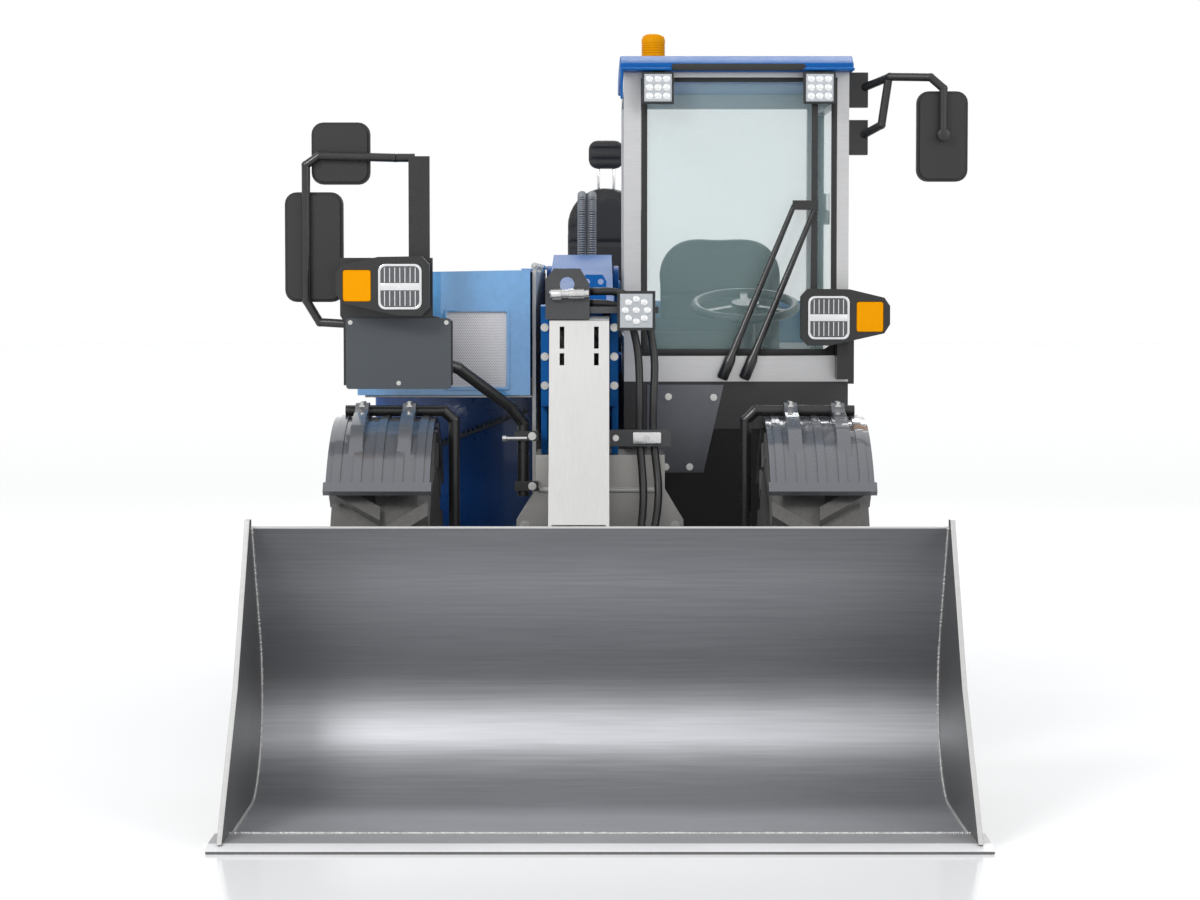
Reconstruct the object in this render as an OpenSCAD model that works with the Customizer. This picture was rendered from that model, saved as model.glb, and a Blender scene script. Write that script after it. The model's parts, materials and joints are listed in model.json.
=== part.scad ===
// Compact telescopic handler with a loading bucket, four-wheel steering and a cab at its left side.
// Lengths run back from the cutting edge (y), to the machine's left (x) and up from the ground (z).

/* [Bucket] */
// Width of the cutting edge
edge_w = 2000; // [1900:10:2100]
// Distance that the cutting edge stands out past each side plate
edge_over = 25; // [10:1:40]
// Depth of the cutting edge plate
edge_d = 190; // [150:5:230]
// Thickness of the cutting edge plate
edge_t = 20; // [16:1:28]
// Thickness of the floor and back plate
shell_t = 10; // [6:1:14]
// Thickness of the side plates
side_t = 14; // [8:1:20]
// Radius of the bend between floor and back
bend_r = 300; // [270:5:310]
// Length from the cutting edge to the back of the bend
bucket_d = 960; // [930:5:970]
// Height of the top edge
bucket_h = 775; // [740:5:800]
// Set-back of the top edge
top_back = 730; // [700:5:760]

/* [Hitch] */
// Distance of the tilt pin behind the back of the bucket
pin_back = 90; // [80:1:100]
// Height of the tilt pin
pin_z = 250; // [235:1:265]
// Distance of the upper pin from the tilt pin
crank_r = 140; // [125:1:150]
// Radius of the tilt pin
pin_r = 25; // [20:1:30]
// Thickness of the hitch ears
ear_t = 22; // [15:1:26]

/* [Boom] */
// Offset of the boom from the middle of the machine, to the right
boom_off = 63; // [55:1:66]
// Distance of the boom pivot behind the cutting edge
piv_y = 3450; // [3430:5:3470]
// Height of the boom pivot
piv_z = 1400; // [1390:1:1415]
// Slope of the lowered boom
boom_slope = 6; // [5.5:0.1:6.3]
// Width of the outer boom
outer_w = 210; // [206:1:212]
// Height of the outer boom
outer_h = 290; // [286:1:300]
// Wall of the outer boom
outer_t = 10; // [8:1:11]
// Width of the inner boom and its nose
inner_w = 183; // [176:1:184]
// Height of the inner boom
inner_h = 250; // [240:1:252]
// Wall of the inner boom and the nose plates
inner_t = 12; // [8:1:14]
// Length of the outer boom in front of its pivot
outer_l = 1740; // [1700:5:1745]
// Radius of the boom pivot pin
piv_r = 35; // [30:1:40]

/* [Wheels] */
// Outer diameter over the lugs
tyre_d = 990; // [960:5:1000]
// Width of the tyre
tyre_w = 295; // [270:5:300]
// Height of the lugs
lug_h = 34; // [20:1:40]
// Lugs on each side of a tyre
lugs = 18; // [14:1:22]
// Radius of the rim under the tyre
rim_r = 230; // [215:1:240]
// Distance between the middles of the left and right tyre
track = 1305; // [1290:5:1330]
// Distance of the front axle behind the cutting edge
axle_y = 1660; // [1655:5:1680]
// Distance between the axles
wheelbase = 2150; // [2140:5:2170]
// Inside radius of the mudguards
guard_r = 533; // [525:1:540]

/* [Cab] */
// Distance of the cab's inner wall from the middle
cab_x0 = 76; // [74:1:90]
// Distance of the cab's outer wall from the middle
cab_x1 = 790; // [780:5:820]
// Front of the cab
cab_y0 = 2050; // [2040:5:2070]
// Back of the cab
cab_y1 = 3250; // [3220:5:3255]
// Underside of the cab floor
cab_z0 = 620; // [615:5:640]
// Height of the lower edge of the stainless frame
band_z = 1130; // [1110:5:1150]
// Height of the roof's lower edge
roof_z = 2110; // [2060:5:2150]
// Thickness of the cab's posts and walls
cab_t = 40; // [30:1:46]
// Thickness of the window glass
glass_t = 8; // [5:1:10]

/* [Bonnet] */
// Distance of the bonnet's outer side from the middle
bonnet_x = 752; // [740:1:770]
// Front of the bonnet
bonnet_y0 = 1792; // [1780:1:1800]
// Back of the bonnet
bonnet_y1 = 3652; // [3600:2:3660]
// Lower edge of the bonnet
bonnet_z0 = 1096; // [1094:1:1110]
// Top of the bonnet at its hinge
bonnet_z1 = 1484; // [1450:1:1500]
// Thickness of the bonnet's sheet
bonnet_t = 6; // [3:0.5:8]

/* [Chassis] */
// Half the distance over the frame rails
rail_x = 200; // [196:1:204]
// Thickness of the frame rails
rail_t = 20; // [14:1:24]
// Top of the frame rails
rail_z1 = 860; // [850:5:870]
// Lower edge of the frame rails
rail_z0 = 565; // [563:1:570]
// Front of the frame
frame_y0 = 1725; // [1722:1:1735]
// Length of the frame behind the rear axle
overhang = 570; // [565:5:590]
// Radius of the wheel arches
arch_r = 622; // [618:1:630]

/* [Fittings] */
// Reach of the left mirror from the middle
mirror_reach = 1152; // [1120:2:1180]
// Depth of the number plate holder's mounting holes from each other
plate_pitch = 290; // [250:5:300]
// Radius of the tow pin's bore
tow_r = 16; // [12:1:18]

/* [Hidden] */
$fn = 48;
run = 0.05;
gap = 0.3;
bx = -boom_off;
tyre_r = tyre_d/2;
wx = track/2;
king_x = wx - 112.5;
ax_z = tyre_r;
rear_y = axle_y + wheelbase;
frame_y1 = rear_y + overhang;
tow_end = frame_y1 + 180;
jaw_x = 110;
shift = [-(mirror_reach - edge_w/2)/2, -tow_end/2, 0];
bucket_w = edge_w - 2*edge_over;
pin = [bucket_d + pin_back, pin_z];
crank_a = 104.5;
crank = pin + crank_r*[cos(crank_a), sin(crank_a)];
tilt_a = 38;
tilt_l = 640;
ear_in = inner_w/2 + 4;
lift_b = [2300, 1068];
lift_c = [3100, 550];
lift_v = lift_c - lift_b;
lift_l = norm(lift_v);
lift_a = atan2(lift_v[1], lift_v[0]);
tower_in = outer_w/2 + 5;
hinge_x = -206;
hinge_z = bonnet_z1 + 13;
door_ax = [cab_x1 + 14, cab_y1 - 50];
tank_x = 400;

module box(x0, x1, y0, y1, z0, z1) { translate([x0, y0, z0]) cube([x1-x0, y1-y0, z1-z0]); }
module along_x(x0, x1) { translate([x0, 0, 0]) rotate([90, 0, 90]) linear_extrude(x1-x0) children(); }
module along_y(y0, y1) { translate([0, y1, 0]) rotate([90, 0, 0]) linear_extrude(y1-y0) children(); }
module xcyl(x0, x1, y, z, r) { translate([x0, y, z]) rotate([0, 90, 0]) cylinder(r=r, h=x1-x0); }
module ycyl(y0, y1, x, z, r) { translate([x, y1, z]) rotate([90, 0, 0]) cylinder(r=r, h=y1-y0); }
module zcyl(z0, z1, x, y, r) { translate([x, y, z0]) cylinder(r=r, h=z1-z0); }
module rod(p, q, r) { v = q-p; l = norm(v); translate(p) rotate([0, acos(v[2]/l), atan2(v[1], v[0])])
    cylinder(r=r, h=l); }
module bent(pts, r) {
  for (i = [0:len(pts)-2]) rod(pts[i], pts[i+1], r);
  for (i = [1:len(pts)-2]) translate(pts[i]) sphere(r=r*1.05);
}
module spot(p, r) { translate(p) circle(r=r); }
module placed() { translate(shift) children(); }
// The boom's own frame: y forward is negative, from the pivot along the boom
module on_boom() { translate([bx, piv_y, piv_z]) rotate([boom_slope, 0, 0]) children(); }
function boom_top(d) = piv_z - (piv_y-d)*tan(boom_slope) + inner_h/2/cos(boom_slope);
function boom_low(d) = piv_z - (piv_y-d)*tan(boom_slope) - inner_h/2/cos(boom_slope);
function arc(c, r, a0, a1, n) = [for (i = [0:n]) let (a = a0 + (a1-a0)*i/n) c + r*[cos(a), sin(a)]];
function round_rect(x0, x1, z0, z1, r) = concat(arc([x1-r, z1-r], r, 0, 90, 5),
    arc([x0+r, z1-r], r, 90, 180, 5), arc([x0+r, z0+r], r, 180, 270, 5), arc([x1-r, z0+r], r, 270, 360, 5));
function smooth(p, k) = concat([for (i = [0:len(p)-2]) for (j = [0:k-1]) let (t = j/k,
  a = p[max(i-1, 0)], b = p[i], c = p[i+1], d = p[min(i+2, len(p)-1)])
  0.5*(2*b + (c-a)*t + (2*a-5*b+4*c-d)*t*t + (3*b-a-3*c+d)*t*t*t)], [p[len(p)-1]]);
module hose(p, r, n = 10, k = 4) {
  s = smooth(p, k); m = len(s);
  ring = [for (i = [0:m-1]) let (t = s[min(i+1, m-1)] - s[max(i-1, 0)], u0 = cross(t, [0, 1, 0.1]),
      u = u0/norm(u0),
    v0 = cross(t, u), v = v0/norm(v0)) for (j = [0:n-1]) s[i] + r*(cos(360*j/n)*u + sin(360*j/n)*v)];
  polyhedron(ring, concat([[for (j = [0:n-1]) j]], [[for (j = [n-1:-1:0]) (m-1)*n+j]],
    [for (i = [0:m-2]) for (j = [0:n-1]) [i*n+j, (i+1)*n+j, (i+1)*n+(j+1)%n, i*n+(j+1)%n]]));
}

// Bucket: floor, bend and back in one plate, with a side plate at each end
bend_c = [bucket_d - bend_r, bend_r];
top_p = [top_back, bucket_h];
bend_end = atan2((top_p-bend_c)[1], (top_p-bend_c)[0]) - acos(bend_r/norm(top_p-bend_c));
function bucket_line(t) = concat(arc(bend_c, bend_r-t, -90, bend_end, 24),
    [top_p - t*[cos(bend_end), sin(bend_end)]]);
module bucket_shell() color("silver") placed() {
  outer = bucket_line(0); inner = bucket_line(shell_t);
  along_x(-bucket_w/2, bucket_w/2) polygon(concat([[edge_d, 0]], outer,
      [for (i = [len(inner)-1:-1:0]) inner[i]], [[edge_d, shell_t]]));
  for (s = [-1, 1]) translate([s*(bucket_w/2 - side_t/2), 0, 0]) along_x(-side_t/2, side_t/2)
    polygon(concat([[26, edge_t], [edge_d, edge_t], [edge_d, 0]], outer,
        [top_p + [0, 20], top_p + [-40, 20], [395, 372]]));
  along_x(-bucket_w/2 + side_t, bucket_w/2 - side_t) polygon([top_p, top_p + [14, -6], top_p + [34, -52],
      top_p + [20, -46]]);
}
module cutting_edge() color("gainsboro") placed() along_x(-edge_w/2, edge_w/2)
  polygon([[0, 0], [edge_d, 0], [edge_d, edge_t], [48, edge_t], [0, 8]]);
module bucket_hitch() color("dimgray") placed() {
  for (s = [-1, 1]) translate([bx + s*(ear_in + ear_t/2), 0, 0]) along_x(-ear_t/2, ear_t/2) difference() {
    union() {
      spot(pin, 62); spot(crank, 45);
      polygon([pin + [0, -62], pin + [62, 0], crank + [45, 0], crank + [0, 45],
          bend_c + bend_r*[cos(30), sin(30)] + [-40, 110], bend_c + [200, -200]]);
    }
    polygon(concat([[edge_d, 0]], bucket_line(0)));
  }
  for (p = [[pin, pin_r], [crank, 20]]) {
    xcyl(bx - ear_in - ear_t - 14, bx + ear_in + ear_t + 14, p[0][0], p[0][1], p[1]);
    for (s = [-1, 1]) translate([bx + s*(ear_in + ear_t + 7), 0, 0]) xcyl(-7, 7, p[0][0], p[0][1], p[1] + 14);
  }
}

// Tilt cylinder: its rod hangs on the hitch's upper pin, its barrel lies in the nose
module on_tilt() { translate([bx, crank[0], crank[1]]) rotate([tilt_a, 0, 0]) children(); }
module tilt_rod() color("silver") placed() on_tilt() difference() {
  union() { xcyl(-30, 30, 0, 0, 40); rotate([-90, 0, 0]) cylinder(r=20, h=500); }
  xcyl(-31, 31, 0, 0, 20 + run);
}
module tilt_barrel() color("dimgray") placed() on_tilt() difference() {
  union() {
    translate([0, 280, 0]) rotate([-90, 0, 0]) cylinder(r=38, h=tilt_l - 280);
    translate([0, 280, 0]) rotate([-90, 0, 0]) cylinder(r=42, h=45);
    xcyl(-35, 35, tilt_l, 0, 42);
  }
  translate([0, 279, 0]) rotate([-90, 0, 0]) cylinder(r=20 + gap, h=tilt_l - 50 - 279);
  xcyl(-36, 36, tilt_l, 0, 18);
}

// Inner boom: a box tube that ends in a steep open-backed nose
nose_f = [[1590, 1330], [1440, 930], [1071, 239]];
nose_low = nose_f[1] + (nose_f[2] - nose_f[1])*0.29;
function nose_top(d) = boom_top(d) - 1;
module boom_inner() color("gainsboro") placed() {
  on_boom() difference() {
    union() {
      box(-inner_w/2, inner_w/2, -1790, -150, -inner_h/2, inner_h/2);
      for (s = [-1, 1]) {
        translate([0, 0, s*(outer_h/2 - outer_t - gap - 10)])
            box(-inner_w/2 + 20, inner_w/2 - 20, -260, -152, -10, 10);
        translate([s*(outer_w/2 - outer_t - gap - 10), 0, 0])
            box(-10, 10, -260, -152, -inner_h/2 + 20, inner_h/2 - 20);
      }
    }
    box(-inner_w/2 + inner_t, inner_w/2 - inner_t, -1800, -140, -inner_h/2 + inner_t, inner_h/2 - inner_t);
  }
  for (s = [-1, 1]) translate([bx + s*(inner_w/2 - inner_t/2), 0, 0])
      along_x(-inner_t/2 + 1, inner_t/2 - 1) difference() {
    union() {
      spot(pin, 60);
      polygon([[nose_f[0][0], nose_top(nose_f[0][0])], nose_f[1], nose_f[2], pin + [46, -22], [1310, 430],
          [1610, 880],
        [1700, boom_low(1700) + 4], [1700, nose_top(1700)]]);
    }
    spot(pin, pin_r + run);
  }
  difference() {
    along_x(bx - inner_w/2 + 1, bx + inner_w/2 - 1) polygon([[1700, nose_top(1700)],
        [nose_f[0][0], nose_top(nose_f[0][0])], nose_f[1], nose_low,
      nose_low + [11, -6], nose_f[1] + [11, -4], [nose_f[0][0] + 10, nose_top(nose_f[0][0] + 10)
          - inner_t + 2], [1700, nose_top(1700) - inner_t + 2]]);
    for (s = [-1, 1]) {
      box(bx + s*52 - 7, bx + s*52 + 7, 1500, 1640, 1246, 1312);
      box(bx + s*52 - 7, bx + s*52 + 7, 1500, 1640, 1196, 1232);
    }
  }
}
module nose_bracket() color("dimgray") placed() {
  difference() {
    along_y(1612, 1622) polygon([[-166, boom_top(1622) + gap], [-32, boom_top(1622) + gap], [-32, 1440],
        [-60, 1488], [-140, 1488], [-166, 1455]]);
    ycyl(1600, 1630, -100, 1440, 22);
  }
  box(-166, -32, 1622, 1690, boom_top(1690) + gap, boom_top(1690) + 8);
  box(-40, 178, 1622, 1632, 1352, 1372);
  box(bx + inner_w/2 - 1, 216, 1604, 1614, 948, 998);
  for (x = [118, 160]) box(x - 15, x + 21, 1614, 1656, 962, 984);
  for (z = [1382, 1418]) { ycyl(1622, 1668, -70, z, 13); rod([-70, 1655, z], [-30, 1655, z], 13); }
  for (z = [565, 615]) xcyl(bx + inner_w/2 - 1, bx + inner_w/2 + 26, 1372, z, 16);
}
module nose_lamp() color("black") placed() {
  difference() { box(52, 168, 1600, 1622, 1300, 1420); box(60, 160, 1599, 1606, 1308, 1412); }
  box(66, 154, 1622, 1640, 1315, 1350);
  for (z = [1378, 1390, 1402]) box(60, 160, 1622, 1632, z, z + 5);
}
module nose_lamp_lens() color("white") placed() box(60 + gap, 160 - gap, 1601, 1606, 1308 + gap, 1412 - gap);
module nose_hoses() color("black") placed() {
  hose([[-30, 1655, 1418], [60, 1670, 1414], [130, 1672, 1370], [165, 1664, 1230], [163, 1640, 1080],
      [163, 1635, 973], [178, 1600, 800], [150, 1490, 660], [90, 1400, 618], [54.5, 1372, 615]], 12);
  hose([[-30, 1655, 1382], [40, 1664, 1376], [88, 1668, 1340], [116, 1664, 1230], [121, 1640, 1080],
      [121, 1635, 973], [132, 1594, 790], [112, 1480, 630], [84, 1394, 570], [54.5, 1372, 565]], 12);
}

// Outer boom: a box tube with a rounded heel on the pivot and lugs for the lift cylinder
module boom_outer() color("royalblue") placed() {
  difference() {
    on_boom() union() {
      box(-outer_w/2, outer_w/2, -outer_l, 0, -outer_h/2, outer_h/2);
      xcyl(-tower_in + gap, tower_in - gap, 0, 0, 75);
      xcyl(-outer_w/2, outer_w/2, 0, 0, outer_h/2);
      box(-outer_w/2 - 14, outer_w/2 + 14, -outer_l, -outer_l + 50, -outer_h/2 - 10, outer_h/2 + 10);
      for (s = [-1, 1]) translate([s*(outer_w/2 + 4), 0, 0]) box(-4, 4, -outer_l + 400, -160, -20, 20);
    }
    on_boom() {
      box(-outer_w/2 + outer_t, outer_w/2 - outer_t, -outer_l - 1, -100, -outer_h/2 + outer_t,
          outer_h/2 - outer_t);
      xcyl(-tower_in, tower_in, 0, 0, piv_r + run);
    }
  }
  on_boom() for (s = [-1, 1]) {
    box(-inner_w/2 + 20, inner_w/2 - 20, -outer_l + 4, -outer_l + 90,
        s > 0 ? inner_h/2 + gap : -outer_h/2 + outer_t - 1, s > 0 ? outer_h/2 - outer_t + 1 : -inner_h/2 - gap);
    box(s > 0 ? inner_w/2 + gap : -outer_w/2 + outer_t - 1, s > 0 ? outer_w/2 - outer_t + 1 : -inner_w/2 - gap, -outer_l + 4, -outer_l + 90, -inner_h/2 + 20, inner_h/2 - 20);
  }
  for (s = [-1, 1]) translate([bx + s*42, 0, 0]) along_x(-10, 10) {
    spot(lift_b, 45);
    polygon([lift_b + [-45, 0], lift_b + [45, 0], [lift_b[0] + 110,
        piv_z - (piv_y - lift_b[0] - 110)*tan(boom_slope) - outer_h/2],
      [lift_b[0] - 110, piv_z - (piv_y - lift_b[0] + 110)*tan(boom_slope) - outer_h/2]]);
  }
  xcyl(bx - 62, bx + 62, lift_b[0], lift_b[1], 22);
  top_lug();
}
// Lift cylinder: its rod hangs on the outer boom, its barrel reaches down into the chassis
module top_lug() along_y(1840, 1854) difference() {
  polygon([[-58, 1366], [20, 1366], [20, 1450], [8, 1470], [-46, 1470], [-58, 1450]]);
  for (x = [-40, 2]) translate([x, 1448]) circle(r=9);
}
module on_lift() { translate([bx, lift_b[0], lift_b[1]]) rotate([lift_a, 0, 0]) children(); }
module lift_rod() color("silver") placed() on_lift() difference() {
  union() { xcyl(-30, 30, 0, 0, 44); rotate([-90, 0, 0]) cylinder(r=28, h=lift_l - 28); }
  xcyl(-31, 31, 0, 0, 22 + run);
}
module lift_barrel() color("dimgray") placed() on_lift() difference() {
  union() {
    translate([0, 70, 0]) rotate([-90, 0, 0]) cylinder(r=48, h=lift_l - 70);
    translate([0, 70, 0]) rotate([-90, 0, 0]) cylinder(r=54, h=60);
    xcyl(-35, 35, lift_l, 0, 48);
  }
  translate([0, 69, 0]) rotate([-90, 0, 0]) cylinder(r=28 + gap, h=lift_l - 69 - 26);
}

// Chassis: two rails with cross plates, and lugs at the foot of the lift cylinder
module chassis_frame() color("silver") placed() {
  for (s = [-1, 1]) translate([s*(rail_x - rail_t/2), 0, 0]) along_x(-rail_t/2, rail_t/2)
    polygon([[frame_y0 + 20, rail_z0], [frame_y0 + 20, rail_z1], [frame_y1, rail_z1], [frame_y1, rail_z0]]);
  for (y = [2150, 3620, frame_y1 - 20]) box(-rail_x + rail_t, rail_x - rail_t, y, y + 20, rail_z0, rail_z1);
  box(-rail_x + rail_t, rail_x - rail_t, lift_c[0] + 70, lift_c[0] + 90, lift_c[1] - 70, rail_z1);
  box(-rail_x, rail_x, lift_c[0] + 70, frame_y1, rail_z1, rail_z1 + 10);
  for (s = [-1, 1]) translate([bx + s*62, 0, 0]) along_x(-10, 10) {
    spot(lift_c, 50);
    polygon([lift_c + [0, -42], lift_c + [72, -62], lift_c + [72, 130], lift_c + [-10, 40]]);
  }
}
module front_box() color("gainsboro") placed() {
  along_y(frame_y0, frame_y0 + 20) polygon([[-rail_x, 915], [rail_x, 915], [rail_x, 810], [258, 715],
      [258, 640], [rail_x, rail_z0 + 45], [-rail_x, rail_z0 + 45], [-258, 640], [-258, 715],
      [-rail_x, 810]]);
  box(-rail_x, rail_x, frame_y0 + 20, cab_y0 - 10, 905, 915);
  for (s = [-1, 1]) translate([s*(rail_x - 5), 0, 0]) box(-5, 5, frame_y0 + 20, cab_y0 - 10, rail_z1, 905);
  box(-rail_x + 12, rail_x - 12, frame_y0 - 8, frame_y0, 800, 812);
}
module boom_rest() color("royalblue") placed() {
  for (s = [-1, 1]) translate([bx + s*(outer_w/2 + 4), 0, 0]) box(-10, 10, 1760, 1830, 915, 1062);
  box(bx - outer_w/2 - 14, bx + outer_w/2 + 14, 1775, 1815, 1030, 1046);
}
module boom_tower() color("royalblue") placed() {
  for (s = [-1, 1]) translate([bx + s*(tower_in + 10), 0, 0]) along_x(-10, 10) difference() {
    union() { spot([piv_y, piv_z], 105); polygon([[piv_y - 180, rail_z1 + 10], [piv_y + 200, rail_z1 + 10],
        [piv_y + 105, piv_z], [piv_y - 105, piv_z]]); }
    spot([piv_y - 5, piv_z - 300], 60);
  }
  xcyl(bx - tower_in - 26, bx + tower_in + 26, piv_y, piv_z, piv_r);
  for (s = [-1, 1]) translate([bx + s*(tower_in + 23), 0, 0]) xcyl(-3, 3, piv_y, piv_z, piv_r + 18);
  box(bx - tower_in - 20, bx + tower_in + 20, piv_y + 160, piv_y + 205, rail_z1 + 10, piv_z - 250);
}

// Hoses that rise behind the boom's heel and drop to the deck in one loop
module boom_hoses() color("black") placed() for (x = [bx - 4, bx + 33])
  hose([[x, 3640, 1150], [x, 3640, 1350], [x, 3642, 1560], [x, 3668, 1700], [x, 3745, 1770],
      [x, 3822, 1700], [x, 3848, 1560], [x, 3850, 1350], [x, 3850, 1180]], 12);

// Axles: a beam with a differential housing and a fork at each end for the knuckle
module axle(y, back) {
  box(-430, 430, y - 55, y + 55, ax_z - 55, ax_z + 55);
  translate([40, y, ax_z]) sphere(r=118);
  for (s = [-1, 1]) {
    box(s*190 - 25, s*190 + 25, y - 70, y + back, ax_z + 54, rail_z0);
    difference() {
      union() {
        translate([s*443, y, ax_z]) box(-13, 13, -58, 58, -106, 106);
        for (z = [-1, 1]) translate([0, y, ax_z + z*91]) {
          translate([s*490, 0, 0]) box(-50, 50, -55, 55, -15, 15);
          zcyl(-15, 15, s*king_x, 0, 55);
        }
      }
      zcyl(ax_z - 120, ax_z + 120, s*king_x, y, 20 + run);
    }
  }
}
module front_axle() color("dimgray") placed() axle(axle_y, 170);
module rear_axle() color("dimgray") placed() axle(rear_y, 170);

// Knuckle: king pin, spindle and flange, with the mudguard's tube and ribbed quarter mudguard
guard_w = tyre_w + 10;
module guard_ring(r0, r1, x0, x1, a0, a1) {
  intersection() {
    difference() { xcyl(x0, x1, 0, 0, r1); xcyl(x0 - 1, x1 + 1, 0, 0, r0); }
    along_x(x0, x1) polygon([[0, 0], 900*[cos(a0), sin(a0)], 900*[cos((a0+a1)/2), sin((a0+a1)/2)],
        900*[cos(a1), sin(a1)]]);
  }
}
module knuckle(s, y) {
  translate([s*king_x, y, ax_z]) {
    zcyl(-118, 128, 0, 0, 20);
    zcyl(-75.5, 75.5, 0, 0, 48);
    xcyl(s > 0 ? 0 : -72, s > 0 ? 72 : 0, 0, 0, 46);
    xcyl(s > 0 ? 72 : -90, s > 0 ? 90 : -72, 0, 0, 92);
    xcyl(s > 0 ? 90 : -134, s > 0 ? 134 : -90, 0, 0, 45);
    zcyl(112, 130, 0, 0, 45);
  }
  translate([0, y, ax_z]) {
    bent([[s*king_x, 0, 128], [s*(king_x - 94), 0, 134], [s*(king_x - 94), 0, 530],
        [s*(king_x - 64), 0, 559], [s*(wx + 125), 0, 559]], 17);
    for (d = [-72, 72]) translate([s*(wx + d), 0, 0]) {
      along_x(-20, 20) polygon(concat([[28, 583], [-28, 583]], arc([0, 0], guard_r + 30, 96, 116, 5),
          [(guard_r + 4)*[cos(129), sin(129)]], arc([0, 0], guard_r + 3, 126, 87, 8)));
      box(-13, 13, -40, 40, 566, 575);
    }
    translate([s*wx, 0, 0]) {
      guard_ring(guard_r, guard_r + 7, -guard_w/2, guard_w/2, 36, 140);
      guard_ring(guard_r - 6, guard_r + 15, -guard_w/2 - 6, guard_w/2 + 6, 138, 141.5);
      for (e = [-1, 1]) translate([e*(guard_w/2 - 3), 0, 0]) guard_ring(guard_r - 12, guard_r + 3, -3.5,
          3.5, 36, 139);
      for (d = [-2:2]) translate([d*guard_w/5, 0, 0]) guard_ring(guard_r + 6, guard_r + 12, -12, 12, 38, 138);
    }
  }
}
module knuckle_fl() color("dimgray") placed() knuckle(1, axle_y);
module knuckle_fr() color("dimgray") placed() knuckle(-1, axle_y);
module knuckle_rl() color("dimgray") placed() knuckle(1, rear_y);
module knuckle_rr() color("dimgray") placed() knuckle(-1, rear_y);

// Wheel: rim with hand holes and hub, and a tyre with chevron lugs
module rim() {
  difference() {
    rotate([0, 90, 0]) rotate_extrude() polygon([[45 + run, -22 + gap], [rim_r - 18, -22 + gap],
        [rim_r - 18, -112], [rim_r + 14, -112], [rim_r + 14, -100], [rim_r, -100],
      [rim_r, 100], [rim_r + 14, 100], [rim_r + 14, 112], [rim_r - 18, 112], [rim_r - 18, -8], [86, -8],
          [78, 44], [60, 56], [0, 56], [0, 26], [45 + run, 26]]);
    for (a = [0:45:315]) rotate([a, 0, 0]) xcyl(-40, 10, 0, 150, 24);
  }
  for (a = [22.5:45:337.5]) rotate([a, 0, 0]) xcyl(-9, 8, 0, 112, 11);
}
lug_top = sqrt(tyre_r*tyre_r - 76*76);
module tyre() {
  rotate([0, 90, 0]) rotate_extrude() polygon([[rim_r + gap, -100 + gap], [rim_r + 15, -100 + gap],
      [rim_r + 22, -106], [300, -tyre_w/2 + 12], [380, -tyre_w/2], [tyre_r - lug_h - 26, -tyre_w/2 + 8],
      [tyre_r - lug_h, -tyre_w/2 + 34],
    [tyre_r - lug_h + 2, 0], [tyre_r - lug_h, tyre_w/2 - 34], [tyre_r - lug_h - 26, tyre_w/2 - 8],
        [380, tyre_w/2], [300, tyre_w/2 - 12], [rim_r + 22, 106], [rim_r + 15, 100 - gap],
        [rim_r + gap, 100 - gap]]);
  for (i = [0:lugs-1]) for (s = [-1, 1]) rotate([(i + (s > 0 ? 0.5 : 0))*360/lugs, 0, 0])
    translate([0, 0, tyre_r - lug_h - 50]) linear_extrude(lug_top - tyre_r + lug_h + 50)
      polygon([[-s*8, -76], [-s*8, -28], [s*tyre_w*0.3, 36], [s*tyre_w/2, 76], [s*tyre_w/2, 28],
          [s*tyre_w*0.3, -12]]);
}
module on_wheel(s, y) { placed() translate([s*wx, y, ax_z]) mirror([s > 0 ? 0 : 1, 0, 0]) children(); }
module wheel_rim_fl() color("silver") on_wheel(1, axle_y) rim();
module wheel_rim_fr() color("silver") on_wheel(-1, axle_y) rim();
module wheel_rim_rl() color("silver") on_wheel(1, rear_y) rim();
module wheel_rim_rr() color("silver") on_wheel(-1, rear_y) rim();
module tyre_fl() color([0.15, 0.15, 0.15]) on_wheel(1, axle_y) tyre();
module tyre_fr() color([0.15, 0.15, 0.15]) on_wheel(-1, axle_y) tyre();
module tyre_rl() color([0.15, 0.15, 0.15]) on_wheel(1, rear_y) tyre();
module tyre_rr() color([0.15, 0.15, 0.15]) on_wheel(-1, rear_y) tyre();

// Right side: bay wall and floor that carry the engine, under the bonnet
bay_x = rail_x + 12;
module engine_bay() color("gainsboro") placed() {
  box(-bay_x, -rail_x, 1880, bonnet_y1 - 20, 700, bonnet_z1 - 4);
  box(-bonnet_x + 20, -bay_x, 1830, bonnet_y1 - 20, bonnet_z0 - 8, bonnet_z0 - 2);
  for (y = [2000, 2700, 3400]) { ycyl(y, y + 80, hinge_x, hinge_z, 12);
      box(-bay_x, -rail_x, y, y + 80, bonnet_z1 - 4, hinge_z - 5); }
  ycyl(1940, 3540, hinge_x, hinge_z, 5);
}
module engine() color("dimgray") placed() {
  box(-620, -300, 2350, 3150, bonnet_z0 - 2, 1340);
  for (y = [2420:180:3000]) ycyl(y, y + 120, -460, 1340, 70);
  box(-600, -260, 1890, 1960, bonnet_z0 - 2, 1400);
  ycyl(1960, 2010, -430, 1250, 120);
  ycyl(3180, 3500, -480, bonnet_z0 + 118, 120);
}
module side_body() color("navy") placed() translate([0, 0, 560]) linear_extrude(bonnet_z0 - 8 - 560)
  polygon([[-bay_x, 2300], [-530, 2300], [-745, 2440], [-745, rear_y - 640], [-bay_x, rear_y - 640]]);
module fuel_tank() color("dimgray") placed() {
  along_x(tank_x, cab_x1) polygon([[2340, cab_z0], [2340, 480], [2380, 430], [3090, 430], [3130, 480],
      [3130, cab_z0]]);
  for (z = [470, 540]) box(cab_x1, cab_x1 + 60, 2480, 2900, z, z + 12);
}
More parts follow.
